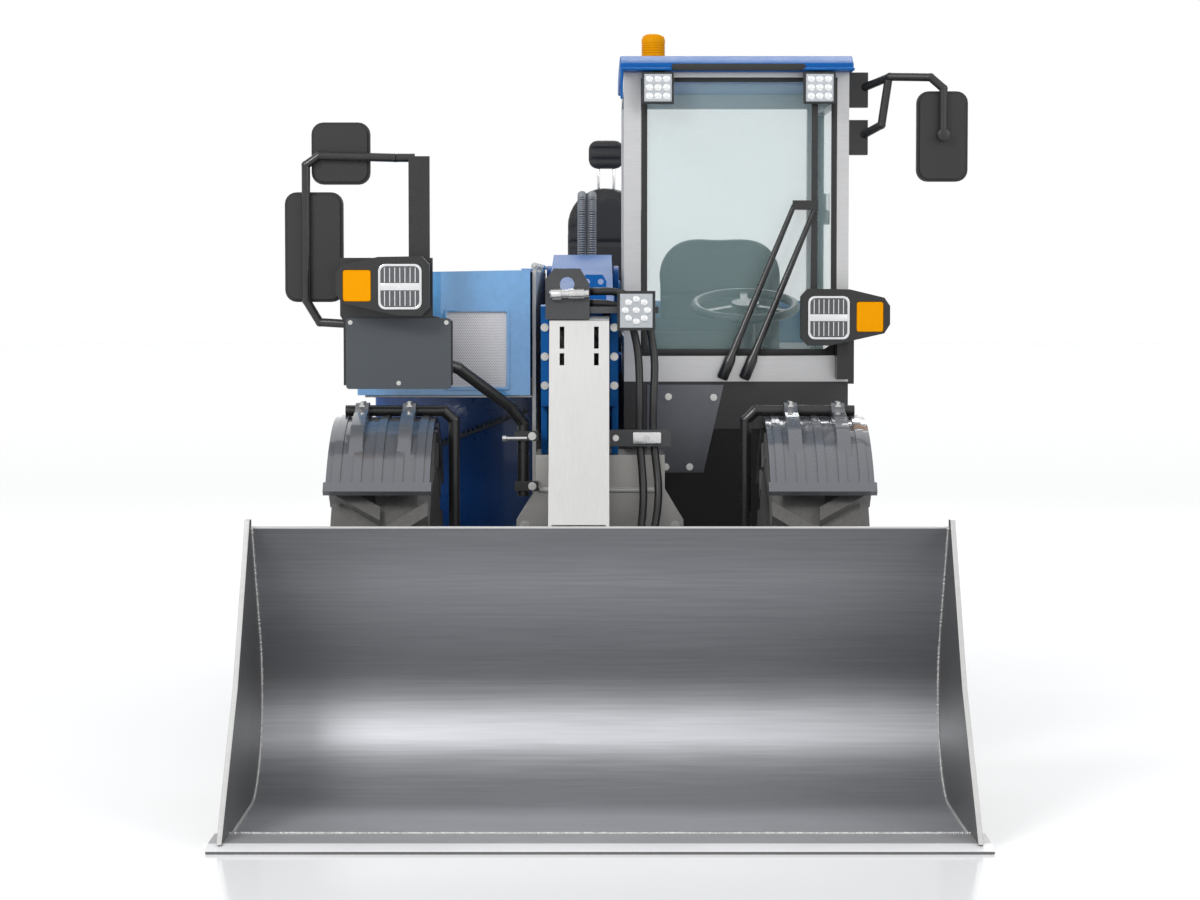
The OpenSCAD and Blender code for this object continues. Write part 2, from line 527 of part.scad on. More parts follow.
module rear_body() color("royalblue") placed() {
  along_x(100, 750) polygon([[3275, 1110], [3275, 1360], [3300, 1380], [3560, 1372], [3660, 1180],
      [frame_y1 - 60, 1180], [frame_y1, 1150], [frame_y1, 1110]]);
  along_x(-745, 101) polygon([[bonnet_y1 + 20, 1110], [bonnet_y1 + 20, 1180], [frame_y1 - 60, 1180],
      [frame_y1, 1150], [frame_y1, 1110]]);
  for (s = [-1, 1]) translate([s*(rail_x - 30), 0, 0]) box(-30, 30, rear_y + 90, rear_y + 390,
      rail_z1 + 10, 1110);
}
// Counterweight with a recess at the rear: a plate in it takes the tow pin, which drops in from above
module counterweight() color("dimgray") placed() {
  difference() {
    along_x(-750, 750) polygon([[frame_y1, 450], [frame_y1, 1110], [frame_y1 + 60, 1110],
        [frame_y1 + 120, 1020], [frame_y1 + 120, 520], [frame_y1 + 70, 450]]);
    box(-jaw_x, jaw_x, frame_y1 + 60, tow_end, 540, 1120);
  }
  difference() {
    translate([0, 0, 590]) linear_extrude(40) polygon(concat([[-60, frame_y1 + 50], [60, frame_y1 + 50]],
        arc([0, tow_end - 60], 60, 0, 180, 16)));
    zcyl(580, 640, 0, tow_end - 60, tow_r);
  }
}
module tail_lamps() color("red") placed() for (s = [-1, 1]) translate([s*640, 0, 0])
    box(-70, 70, frame_y1 + 120, frame_y1 + 138, 860, 960);

// Cab: base with the wheel arch, stainless frame with windows, roof
module door_shape(g) { polygon([[cab_y0 + 70 - g, roof_z - 25 + g], [cab_y0 + 70 - g, 1000 - g],
    [cab_y0 + 255 - g, cab_z0 + 40 - g], [cab_y1 - 55 + g, cab_z0 + 40 - g],
    [cab_y1 - 55 + g, roof_z - 25 + g]]); }
module hinge_half(z) {
  zcyl(z, z + 60, door_ax[0], door_ax[1], 13);
  box(cab_x1, door_ax[0], door_ax[1] + 3, door_ax[1] + 40, z, z + 60);
  zcyl(z - 50, z, door_ax[0], door_ax[1], 7);
}
module cab_base() color("dimgray") placed() {
  difference() {
    union() {
      box(rail_x + 6, cab_x1, cab_y0, cab_y1, cab_z0, band_z);
      box(cab_x0, cab_x1, cab_y0, cab_y1, rail_z1 + 70, band_z);
    }
    box(rail_x + 6 + 20, cab_x1 - cab_t, cab_y0 + cab_t, cab_y1 - cab_t, cab_z0 + 20, band_z + 1);
    box(cab_x0 + cab_t, cab_x1 - cab_t, cab_y0 + cab_t, cab_y1 - cab_t, rail_z1 + 90, band_z + 1);
    xcyl(cab_x0 - 1, cab_x1 + 1, axle_y, ax_z, arch_r);
    along_x(cab_x1 - cab_t - 1, cab_x1 + 1) door_shape(4);
  }
  intersection() {
    box(rail_x + 6, cab_x1 - cab_t, cab_y0, cab_y1, cab_z0, band_z);
    difference() { xcyl(cab_x0, cab_x1, axle_y, ax_z, arch_r + 14);
        xcyl(cab_x0 - 1, cab_x1 + 1, axle_y, ax_z, arch_r); }
  }
  for (y = [2400, 3100]) { box(rail_x, tank_x - 4, y, y + 40, cab_z0 - 20, cab_z0); }
  hinge_half(900);
}
module cab_frame() color("silver") placed() {
  difference() {
    box(cab_x0, cab_x1, cab_y0, cab_y1, band_z, roof_z);
    box(cab_x0 + cab_t, cab_x1 - cab_t, cab_y0 + cab_t, cab_y1 - cab_t, band_z - 1, roof_z + 1);
    box(cab_x0 + 54, cab_x1 - 38, cab_y0 - 1, cab_y0 + cab_t + 1, band_z + 82, roof_z - 16);
    box(cab_x0 + 54, cab_x1 - 54, cab_y1 - cab_t - 1, cab_y1 + 1, band_z + 100, roof_z - 50);
    box(cab_x0 - 1, cab_x0 + cab_t + 1, cab_y0 + 70, cab_y1 - 70, band_z + 140, roof_z - 50);
    along_x(cab_x1 - cab_t - 1, cab_x1 + 1) door_shape(4);
  }
  hinge_half(1700);
}
module cab_roof() color("royalblue") placed() {
  along_x(cab_x0 - 12, cab_x1 + 10) polygon([[cab_y0 - 50, roof_z], [cab_y0 - 50, roof_z + 25],
      [cab_y0 + 10, roof_z + 52], [cab_y0 + 250, roof_z + 66], [cab_y1 - 250, roof_z + 66],
      [cab_y1, roof_z + 50], [cab_y1 + 30, roof_z + 25], [cab_y1 + 30, roof_z]]);
  for (x = [cab_x0 - 12, cab_x1 - 150]) box(x, x + 160, cab_y0 - 100, cab_y0 - 50, roof_z, roof_z + 8);
  box(cab_x0 - 12, cab_x0 - 4, cab_y0 - 100, cab_y0 - 50, roof_z - 88, roof_z);
}
module cab_glass() color([0.6, 0.8, 0.75, 0.4]) placed() {
  box(cab_x0 + 54 + gap, cab_x1 - 38 - gap, cab_y0 + 8, cab_y0 + 8 + glass_t, band_z + 82 + gap,
      roof_z - 16 - gap);
  box(cab_x0 + 54 + gap, cab_x1 - 54 - gap, cab_y1 - 8 - glass_t, cab_y1 - 8, band_z + 100 + gap,
      roof_z - 50 - gap);
  box(cab_x0 + 8, cab_x0 + 8 + glass_t, cab_y0 + 70 + gap, cab_y1 - 70 - gap, band_z + 140 + gap,
      roof_z - 50 - gap);
}
module operator_seat() color([0.12, 0.12, 0.12]) placed() {
  box(250, 600, 2700, 3090, cab_z0 + 20, 980);
  along_x(190, 650) polygon([[2590, 990], [2570, 1040], [2590, 1090], [2960, 1080], [3010, 1600],
      [3070, 1620], [3120, 1600], [3090, 1000], [3050, 980], [2640, 980]]);
  rear_seat();
}
// Rear seat on the deck behind the boom: cushion, arched back and headrest
module rear_seat() {
  along_x(-120, 168) polygon([[rear_y + 95, 1180], [rear_y + 80, 1225], [rear_y + 100, 1290],
      [rear_y + 370, 1270], [rear_y + 390, 1180]]);
  along_y(rear_y + 380, rear_y + 480) polygon(concat(arc([24, 1658], 170, 0, 180, 16),
      [[-130, 1180], [178, 1180]]));
  for (x = [-6, 54]) zcyl(1800, 1890, x, rear_y + 430, 6);
  along_y(rear_y + 395, rear_y + 465) polygon(round_rect(-52, 100, 1878, 2004, 34));
}
module steering_wheel() color([0.15, 0.15, 0.15]) placed() {
  bent([[480, 2330, cab_z0 + 20], [480, 2330, 900], [480, 2420, 1330]], 32);
  translate([480, 2430, 1368]) rotate([15, 0, 0]) { rotate_extrude() translate([165, 0]) circle(r=15);
      cylinder(r=45, h=26, center=true); for (a = [0, 120, 240]) rotate([0, 0, a + 90])
      translate([0, -12, -6]) cube([166, 24, 12]); }
  rod([480, 2420, 1330], [480, 2430, 1368], 24);
  along_x(cab_x0 + cab_t, 420) polygon([[cab_y0 + cab_t, 1150], [cab_y0 + cab_t, 1290],
      [cab_y0 + cab_t + 70, 1330], [cab_y0 + cab_t + 190, 1250], [cab_y0 + cab_t + 190, 1150]]);
}
module wiper() color("black") placed() {
  for (x = [400, 470]) { ycyl(cab_y0 - 30, cab_y0, x, band_z + 40, 16);
      rod([x, cab_y0 - 24, band_z + 40], [x + 215, cab_y0 - 24, band_z + 40 + 520], 7); }
  box(670, 690, cab_y0 - 12, cab_y0 + 8 - gap, band_z + 150, roof_z - 90);
  box(610, 690, cab_y0 - 32, cab_y0 - 12, band_z + 545, band_z + 575);
}
module roof_lamps() color("black") placed() for (x = [132, 640]) {
  difference() { box(x, x + 100, cab_y0 - 92, cab_y0 - 52, roof_z - 104, roof_z - 4);
      box(x + 6, x + 94, cab_y0 - 93, cab_y0 - 86, roof_z - 98, roof_z - 10); }
  box(x + 30, x + 70, cab_y0 - 80, cab_y0 - 60, roof_z - 4, roof_z);
}
module roof_lamp_lenses() color("white") placed() for (x = [132, 640])
    box(x + 6 + gap, x + 94 - gap, cab_y0 - 91, cab_y0 - 86, roof_z - 98 + gap, roof_z - 10 - gap);
module beacon() color("orange") placed() { zcyl(roof_z + 66, roof_z + 96, 180, 2700, 46);
    translate([180, 2700, roof_z + 96]) { cylinder(r=40, h=60); translate([0, 0, 60]) sphere(r=40); } }

// Right front: a bent tube that carries the plate holder, headlamp and mirrors
module carrier() color([0.1, 0.1, 0.1]) placed() {
  bent([[-236, 1704, 790], [-236, 1704, 1012], [-275, 1690, 1064], [-430, 1600, 1185], [-470, 1585, 1200]],
      18);
  for (z = [806, 960]) box(-262, -190, 1682, frame_y0, z, z + 30);
  along_y(1560, 1572) polygon([[-775, 1135], [-445, 1135], [-445, 1330], [-505, 1345], [-505, 1520],
      [-785, 1520], [-785, 1345], [-775, 1330]]);
  box(-485, -455, 1572, 1600, 1170, 1230);
  box(-578, -566, 1575, 1625, 1480, 1826);
  box(-578, -514, 1572, 1580, 1480, 1826);
  bent([[-560, 1600, 1822], [-620, 1600, 1822], [-850, 1600, 1828], [-890, 1600, 1800], [-890, 1600, 1390],
      [-850, 1600, 1325], [-760, 1590, 1320]], 13);
}
module plate_holder() color([0.2, 0.2, 0.2]) placed() difference() {
  along_y(1548, 1560) polygon(round_rect(-767, -450, 1124, 1338, 10));
  for (s = [-1, 1]) ycyl(1540, 1565, -608.5 + s*plate_pitch/2, 1325, 4);
}
// Headlamp housing: its outline drops towards the indicator, which stands on the outer side
lamp_pts = [[0, 66], [18, 38], [186, 0], [258, 0], [280, 24], [280, 154], [258, 178], [126, 176],
    [18, 150], [0, 124]];
function lamp_line(m, k) = [for (p = lamp_pts) let (q = [140, 89] + k*(p - [140, 89]))
    [m > 0 ? 280 - q[0] : q[0], q[1]]];
function lamp_well(m, g) = m > 0 ? round_rect(280 - 258 + g, 280 - 126 - g, 18 + g, 156 - g, 22)
    : round_rect(126 + g, 258 - g, 18 + g, 156 - g, 22);
function side_well(m, g) = m > 0 ? round_rect(280 - 106 + g, 280 - 20 - g, 42 + g, 138 - g, 8)
    : round_rect(20 + g, 106 - g, 42 + g, 138 - g, 8);
module lamp_house(p, m) translate([p[0], 0, p[2]]) difference() {
  union() { along_y(p[1], p[1] + 36) polygon(lamp_line(m, 1)); along_y(p[1] + 36, p[1] + 90)
      polygon(lamp_line(m, 0.84)); }
  along_y(p[1] - 1, p[1] + 26) { polygon(lamp_well(m, 0)); polygon(side_well(m, 0)); }
}
lamp_r = [-790, 1466, 1346];
lamp_l = [629, 1900, 1248];
module headlamps() color("black") placed() {
  lamp_house(lamp_r, -1);
  box(-700, -600, lamp_r[1] + 80, 1560, 1390, 1470);
  lamp_house(lamp_l, 1);
  box(748, cab_x1 - 5, lamp_l[1] + 60, cab_y0, band_z + 10, lamp_l[2] + 40);
}
module headlamp_lenses() color("white") placed() for (l = [[lamp_r, -1], [lamp_l, 1]])
  translate([l[0][0], 0, l[0][2]]) along_y(l[0][1] + 4, l[0][1] + 26 - gap) polygon(lamp_well(l[1], gap));
module indicators() color("orange") placed() for (l = [[lamp_r, -1], [lamp_l, 1]])
  translate([l[0][0], 0, l[0][2]]) along_y(l[0][1] + 2, l[0][1] + 26 - gap) polygon(side_well(l[1], gap));
module mirror_case(x0, x1, y0, y1, z0, z1) {
  along_y(y0, y0 + 12) polygon(round_rect(x0 + 9, x1 - 9, z0 + 9, z1 - 9, 30));
  along_y(y0 + 12, y1) polygon(round_rect(x0, x1, z0, z1, 36));
}
module mirrors() color([0.1, 0.1, 0.1]) placed() {
  mirror_case(-957, -780, 1613 + gap, 1650, 1386, 1719);
  mirror_case(-875, -697, 1613 + gap, 1645, 1742, 1930);
  mirror_case(mirror_reach - 160, mirror_reach, 1918 + gap, 1955, 1761, 2043);
  for (z = [1850, 2000]) box(cab_x1, cab_x1 + 60, cab_y0 + 5, cab_y0 + 45, z, z + 110);
  bent([[cab_x1 + 40, cab_y0 + 25, 2060], [cab_x1 + 120, 1960, 2090], [mirror_reach - 120, 1910, 2085],
      [mirror_reach - 80, 1905, 2050], [mirror_reach - 80, 1903, 1900]], 13);
  bent([[cab_x1 + 40, cab_y0 + 25, 1910], [cab_x1 + 95, 1970, 1940], [cab_x1 + 115, 1960, 2080]], 13);
}
module mirror_glass() color("lightgray") placed() {
  along_y(1650, 1653) polygon(round_rect(-947, -790, 1396, 1709, 28));
  along_y(1645, 1648) polygon(round_rect(-865, -707, 1752, 1920, 28));
  along_y(1955, 1958) polygon(round_rect(mirror_reach - 150, mirror_reach - 10, 1771, 2033, 28));
}

// Bonnet over the engine: folded sheet with a grille in front, hinged along its inner top edge
module bonnet_line(t) { polygon([[-bonnet_x + t, bonnet_z0 - (t > 0 ? 1 : 0)], [-bonnet_x + t, 1400 - t/2],
    [-bonnet_x + 37 + t/2, 1450 - t], [-560, bonnet_z1 - 6 - t],
    [-bay_x - 4 + (t > 0 ? 1 : 0), bonnet_z1 - t], [-bay_x - 4 + (t > 0 ? 1 : 0),
    bonnet_z0 - (t > 0 ? 1 : 0)]]); }
grille = [-475, -288, 1120, 1356];
module bonnet() color("dodgerblue") placed() {
  difference() {
    along_y(bonnet_y0, bonnet_y1) bonnet_line(0);
    along_y(bonnet_y0 + bonnet_t, bonnet_y1 - bonnet_t) bonnet_line(bonnet_t);
    box(grille[0], grille[1], bonnet_y0 - 1, bonnet_y0 + bonnet_t + 1, grille[2], grille[3]);
    for (y = [2100:60:2700]) box(-bonnet_x - 1, -bonnet_x + bonnet_t + 1, y, y + 24, 1180, 1340);
  }
  for (y = [2100, 2800, 3300]) {
    difference() { union() { ycyl(y, y + 80, hinge_x, hinge_z, 12);
        box(-bay_x - 40, hinge_x, y, y + 80, bonnet_z1 - 1, hinge_z - 7); } ycyl(y - 1, y + 81, hinge_x,
        hinge_z, 5 + run); }
  }
}
module bonnet_grille() color("lightgray") placed() along_y(bonnet_y0 + bonnet_t, bonnet_y0 + bonnet_t + 3)
    difference() {
  translate([grille[0] - 12, grille[2] - 12]) square([grille[1] - grille[0] + 24,
      grille[3] - grille[2] + 24]);
  for (i = [0:8]) for (j = [0:11]) if (i < 8 || j % 2 == 0) translate([grille[0] + 14 + i*20 + (j % 2)*10,
      grille[2] + 14 + j*19]) circle(r=7, $fn=16);
}

// Cab door, hinged at its rear edge
module door() color([0.15, 0.15, 0.15]) placed() {
  difference() {
    along_x(cab_x1 - 30, cab_x1) door_shape(0);
    along_x(cab_x1 - 31, cab_x1 + 1) polygon([[cab_y0 + 130, roof_z - 80], [cab_y0 + 130, 1080],
        [cab_y0 + 330, cab_z0 + 130], [cab_y1 - 120, cab_z0 + 130], [cab_y1 - 120, roof_z - 80]]);
  }
  for (z = [900, 1700]) difference() {
    union() { zcyl(z - 50, z - gap, door_ax[0], door_ax[1], 13);
        box(cab_x1 - 5, door_ax[0], door_ax[1] - 60, door_ax[1] - 8, z - 50, z - gap);
        box(cab_x1 + 3, door_ax[0], door_ax[1] - 60, door_ax[1], z - 50, z - gap); }
    zcyl(z - 51, z + 1, door_ax[0], door_ax[1], 7 + run);
  }
  box(cab_x1, cab_x1 + 26, cab_y0 + 85, cab_y0 + 120, 1120, 1320);
}
module door_glass() color([0.6, 0.8, 0.75, 0.4]) placed() along_x(cab_x1 - 20, cab_x1 - 20 + glass_t)
  polygon([[cab_y0 + 130 + gap, roof_z - 80 - gap], [cab_y0 + 130 + gap, 1080 + gap],
      [cab_y0 + 330 + gap, cab_z0 + 130 + gap], [cab_y1 - 120 - gap, cab_z0 + 130 + gap],
      [cab_y1 - 120 - gap, roof_z - 80 - gap]]);

bucket_shell();
cutting_edge();
bucket_hitch();
tilt_rod();
tilt_barrel();
boom_inner();
nose_bracket();
nose_lamp();
nose_lamp_lens();
nose_hoses();
boom_outer();
lift_rod();
lift_barrel();
chassis_frame();
front_box();
boom_rest();
boom_tower();
boom_hoses();
front_axle();
rear_axle();
engine_bay();
engine();
side_body();
fuel_tank();
rear_body();
counterweight();
tail_lamps();
cab_base();
cab_frame();
cab_roof();
cab_glass();
operator_seat();
steering_wheel();
wiper();
roof_lamps();
roof_lamp_lenses();
beacon();
carrier();
plate_holder();
headlamps();
headlamp_lenses();
indicators();
mirrors();
mirror_glass();
bonnet();
bonnet_grille();
door();
door_glass();
knuckle_fl();
knuckle_fr();
knuckle_rl();
knuckle_rr();
wheel_rim_fl();
wheel_rim_fr();
wheel_rim_rl();
wheel_rim_rr();
tyre_fl();
tyre_fr();
tyre_rl();
tyre_rr();
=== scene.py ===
import json
import math
import bmesh
import bpy
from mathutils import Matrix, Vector

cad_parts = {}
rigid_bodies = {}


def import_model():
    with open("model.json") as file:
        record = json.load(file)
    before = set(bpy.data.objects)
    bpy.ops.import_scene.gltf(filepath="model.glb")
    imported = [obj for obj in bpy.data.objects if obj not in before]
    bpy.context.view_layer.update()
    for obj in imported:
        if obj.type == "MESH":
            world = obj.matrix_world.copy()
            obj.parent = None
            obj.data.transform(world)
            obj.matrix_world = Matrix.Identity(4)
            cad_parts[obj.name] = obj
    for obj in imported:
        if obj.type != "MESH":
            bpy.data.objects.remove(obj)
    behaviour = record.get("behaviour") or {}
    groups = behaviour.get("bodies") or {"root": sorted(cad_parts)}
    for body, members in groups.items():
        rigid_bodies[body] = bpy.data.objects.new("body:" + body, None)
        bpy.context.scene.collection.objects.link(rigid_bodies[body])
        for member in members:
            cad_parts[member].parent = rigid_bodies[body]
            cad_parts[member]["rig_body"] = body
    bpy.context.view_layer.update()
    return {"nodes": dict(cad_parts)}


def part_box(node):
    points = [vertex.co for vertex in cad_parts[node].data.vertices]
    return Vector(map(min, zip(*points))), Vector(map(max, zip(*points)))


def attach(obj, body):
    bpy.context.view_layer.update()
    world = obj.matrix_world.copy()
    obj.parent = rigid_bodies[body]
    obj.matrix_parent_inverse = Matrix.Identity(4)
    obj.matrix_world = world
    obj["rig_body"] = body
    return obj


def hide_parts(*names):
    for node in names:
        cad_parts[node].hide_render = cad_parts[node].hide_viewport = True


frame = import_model()

# Studio: a pale floor that runs into a white surround, lit evenly from all round,
# with a large soft lamp high on the machine's right, one on its left and one behind.
EDGE_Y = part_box("cutting_edge")[0].y
MID_X = sum(c.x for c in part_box("cutting_edge")) / 2

scene = bpy.context.scene
scene.view_settings.view_transform = "Standard"
world = bpy.data.worlds.new("studio")
scene.world = world
world.use_nodes = True
sky = world.node_tree
backdrop = sky.nodes["Background"]
backdrop.inputs["Color"].default_value = (0.95, 0.97, 1.0, 1)
backdrop.inputs["Strength"].default_value = 0.58
plain = sky.nodes.new("ShaderNodeBackground")
plain.inputs["Color"].default_value = (1, 1, 1, 1)
plain.inputs["Strength"].default_value = 1.0
ray = sky.nodes.new("ShaderNodeLightPath")
pick = sky.nodes.new("ShaderNodeMixShader")
last = ray.outputs["Is Camera Ray"]
for kind in ("Is Transmission Ray", "Is Glossy Ray"):
    either = sky.nodes.new("ShaderNodeMath")
    either.operation = "MAXIMUM"
    sky.links.new(last, either.inputs[0])
    sky.links.new(ray.outputs[kind], either.inputs[1])
    last = either.outputs[0]
sky.links.new(last, pick.inputs[0])
sky.links.new(backdrop.outputs[0], pick.inputs[1])
sky.links.new(plain.outputs[0], pick.inputs[2])
sky.links.new(pick.outputs[0], sky.nodes["World Output"].inputs["Surface"])

floor_mesh = bpy.data.meshes.new("floor")
floor_mesh.from_pydata([(-60, -60, 0), (60, -60, 0), (60, 60, 0), (-60, 60, 0)], [], [(0, 1, 2, 3)])
floor = bpy.data.objects.new("floor", floor_mesh)
scene.collection.objects.link(floor)
floor_white = bpy.data.materials.new("floor_white")
floor_white.use_nodes = True
floor_tree = floor_white.node_tree
floor_bsdf = floor_tree.nodes["Principled BSDF"]
floor_bsdf.inputs["Base Color"].default_value = (0.96, 0.96, 0.96, 1)
floor_bsdf.inputs["Roughness"].default_value = 0.12
floor_bsdf.inputs["Emission Color"].default_value = (1, 1, 1, 1)
floor_ray = floor_tree.nodes.new("ShaderNodeLightPath")
floor_glow = floor_tree.nodes.new("ShaderNodeMath")
floor_glow.operation = "MULTIPLY"
floor_glow.inputs[1].default_value = 0.12
floor_tree.links.new(floor_ray.outputs["Is Camera Ray"], floor_glow.inputs[0])
floor_tree.links.new(floor_glow.outputs[0], floor_bsdf.inputs["Emission Strength"])
floor_mesh.materials.append(floor_white)


def lamp(name, place, aim, power, size):
    data = bpy.data.lights.new(name, "AREA")
    data.energy, data.shape, data.size = power, "DISK", size
    obj = bpy.data.objects.new(name, data)
    obj.location = place
    obj.rotation_euler = (Vector(aim) - Vector(place)).to_track_quat("-Z", "Y").to_euler()
    scene.collection.objects.link(obj)


lamp("key", (-4.5, -7.5, 6.0), (0, -1.0, 0.9), 330, 3.0)
lamp("fill", (5.5, -6.0, 4.0), (0, -0.5, 1.0), 130, 4.0)
lamp("back", (1.0, 7.0, 6.0), (0, 0, 1.2), 200, 4.0)

# Camera: straight in front of the bucket, a little under cab height, tilted down
# until the horizon lies at the lower third of the windscreen.
CAMERA_BACK, CAMERA_UP = 7.6, 1.45
FOCAL_PX, HORIZON_PX = 3030.0, 281.0
camera_data = bpy.data.cameras.new("camera")
camera_data.sensor_width = 36.0
camera_data.lens = 36.0 * FOCAL_PX / 1200.0
camera = bpy.data.objects.new("camera", camera_data)
camera.location = (MID_X, EDGE_Y - CAMERA_BACK, CAMERA_UP)
camera.rotation_euler = (math.pi / 2 - math.atan((450.0 - HORIZON_PX) / FOCAL_PX), 0, 0)
scene.collection.objects.link(camera)
scene.camera = camera

# Chassis: two deep rails with cross plates, front box and engine bay wall in brushed stainless
# plate with bright cut edges, bolted and welded, over axles in dark grey paint.


def at(x, y, z):
    """A place in millimetres: left of the machine's middle, behind the cutting edge, above the ground."""
    return Vector((MID_X + x / 1000, EDGE_Y + y / 1000, z / 1000))


def finish(name, colour, rough, metal=0.0, grain=(9, 9, 9), spread=0.12, bump=0.03, uneven=0.08, coat=0.0,
    fine=6.0, shine=0.5):
    """A finish with cloudy colour, uneven gloss and a fine grain that is stretched by grain."""
    mat = bpy.data.materials.new(name)
    mat.use_nodes = True
    tree = mat.node_tree
    node, link = tree.nodes.new, tree.links.new
    bsdf = tree.nodes["Principled BSDF"]
    where, turn = node("ShaderNodeTexCoord"), node("ShaderNodeMapping")
    turn.inputs["Scale"].default_value = grain
    cloud, speck = node("ShaderNodeTexNoise"), node("ShaderNodeTexNoise")
    cloud.inputs["Scale"].default_value, cloud.inputs["Detail"].default_value = 2.6, 4.0
    speck.inputs["Scale"].default_value, speck.inputs["Detail"].default_value = fine, 7.0
    share, both = node("ShaderNodeMath"), node("ShaderNodeMath")
    share.operation, both.operation = "MULTIPLY", "MULTIPLY_ADD"
    share.inputs[1].default_value, both.inputs[1].default_value = 0.5, 0.5
    tint, gloss, relief = node("ShaderNodeMix"), node("ShaderNodeMapRange"), node("ShaderNodeBump")
    tint.data_type = "RGBA"
    tint.inputs["A"].default_value = (*[c * (1 - 2 * spread) for c in colour], 1)
    tint.inputs["B"].default_value = (*[min(1.0, c * (1 + 2 * spread)) for c in colour], 1)
    gloss.inputs["From Min"].default_value, gloss.inputs["From Max"].default_value = 0.3, 0.7
    gloss.inputs["To Min"].default_value = max(0.02, rough - uneven)
    gloss.inputs["To Max"].default_value = min(1.0, rough + uneven)
    relief.inputs["Strength"].default_value, relief.inputs["Distance"].default_value = bump, 0.002
    link(where.outputs["Object"], turn.inputs["Vector"])
    link(turn.outputs["Vector"], speck.inputs["Vector"])
    link(where.outputs["Object"], cloud.inputs["Vector"])
    link(cloud.outputs["Fac"], share.inputs[0])
    link(speck.outputs["Fac"], both.inputs[0])
    link(share.outputs[0], both.inputs[2])
    link(both.outputs[0], tint.inputs["Factor"])
    link(tint.outputs["Result"], bsdf.inputs["Base Color"])
    link(both.outputs[0], gloss.inputs["Value"])
    link(gloss.outputs["Result"], bsdf.inputs["Roughness"])
    link(speck.outputs["Fac"], relief.inputs["Height"])
    link(relief.outputs["Normal"], bsdf.inputs["Normal"])
    bsdf.inputs["Metallic"].default_value = metal
    bsdf.inputs["Coat Weight"].default_value = coat
    bsdf.inputs["Specular IOR Level"].default_value = shine
    return mat


def dress(mat, *nodes):
    """Gives CAD nodes a finish of their own."""
    for name in nodes:
        obj = frame["nodes"][name]
        if not obj.material_slots:
            obj.data.materials.append(mat)
        for held in obj.material_slots:
            held.material = mat


def settled(obj):
    """Turns what an object's modifiers make into its plain mesh."""
    bpy.context.view_layer.update()
    made = bpy.data.meshes.new_from_object(obj.evaluated_get(bpy.context.evaluated_depsgraph_get()))
    obj.modifiers.clear()
    obj.data = made
    return obj


def stand(name, mesh, mat):
    """Puts a mesh with its finish in the scene."""
    mesh.materials.clear()
    mesh.materials.append(mat)
    obj = bpy.data.objects.new(name, mesh)
    scene.collection.objects.link(obj)
    return obj


def fix(obj, body):
    """Fixes a finished piece to its body."""
    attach(obj, body)
    return obj


def edged(mat, width, *nodes):
    """Stands a copy of each node in its place, with its sharp edges broken as on cut and folded plate."""
    made = []
    for name in nodes:
        mesh = frame["nodes"][name].data.copy()
        bm = bmesh.new()
        bm.from_mesh(mesh)
        bmesh.ops.remove_doubles(bm, verts=bm.verts, dist=0.00002)
        bmesh.ops.dissolve_limit(bm, angle_limit=0.01, verts=bm.verts, edges=bm.edges)
        bm.to_mesh(mesh)
        bm.free()
        obj = stand(name + "_piece", mesh, mat)
        bevel = obj.modifiers.new("edge", "BEVEL")
        bevel.width, bevel.segments, bevel.limit_method, bevel.angle_limit = width, 2, "ANGLE", 0.6
        settled(obj)
        obj.data.shade_smooth()
        obj.data.set_sharp_from_angle(angle=0.7)
        obj.modifiers.new("flat", "WEIGHTED_NORMAL").keep_sharp = True
        settled(obj)
        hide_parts(name)
        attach(obj, frame["nodes"][name]["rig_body"])
        made.append(obj)
    return made


def new_tree(name, result, *inputs):
    """An empty node tree with named inputs; gives its input node, its maker and a call that closes it."""
    tree = bpy.data.node_groups.new(name, "GeometryNodeTree")
    for label, kind in inputs + (("Finish", "Material"),):
        tree.interface.new_socket(label, in_out="INPUT", socket_type="NodeSocket" + kind)
    tree.interface.new_socket(result, in_out="OUTPUT", socket_type="NodeSocketGeometry")
    node, link = tree.nodes.new, tree.links.new
    given, out = node("NodeGroupInput"), node("NodeGroupOutput")

    def close(points, shape, turn=None, scale=None):
        place, real, paint = (node("GeometryNodeInstanceOnPoints"), node("GeometryNodeRealizeInstances"),
            node("GeometryNodeSetMaterial"))
        link(points, place.inputs["Points"])
        link(shape, place.inputs["Instance"])
        if turn:
            link(turn, place.inputs["Rotation"])
        if scale:
            link(scale, place.inputs["Scale"])
        link(place.outputs[0], real.inputs[0])
        link(real.outputs[0], paint.inputs["Geometry"])
        link(given.outputs["Finish"], paint.inputs["Material"])
        link(paint.outputs[0], out.inputs[0])
        return tree

    return given, node, link, close


def run_tree(name, tree, verts, edges, **sizes):
    """Runs a tree on points or lines with its named sizes, and keeps what it makes as a plain mesh."""
    mesh = bpy.data.meshes.new(name)
    mesh.from_pydata([p[0] if isinstance(p, tuple) else p for p in verts], edges, [])
    if isinstance(verts[0], tuple):
        aim = mesh.attributes.new("aim", "FLOAT_VECTOR", "POINT")
        aim.data.foreach_set("vector", [c for _, way in verts for c in way])
    obj = bpy.data.objects.new(name, mesh)
    scene.collection.objects.link(obj)
    mod = obj.modifiers.new("made", "NODES")
    mod.node_group = tree
    for item in tree.interface.items_tree:
        if item.in_out == "INPUT" and item.name in sizes:
            mod[item.identifier] = sizes[item.name]
    return settled(obj)


def aimed(node, link):
    """The turn that points an instance along its point's own direction."""
    aim, turn = node("GeometryNodeInputNamedAttribute"), node("FunctionNodeAlignRotationToVector")
    aim.data_type = "FLOAT_VECTOR"
    aim.inputs["Name"].default_value = "aim"
    turn.axis = "Z"
    link(aim.outputs["Attribute"], turn.inputs["Vector"])
    return turn.outputs["Rotation"]


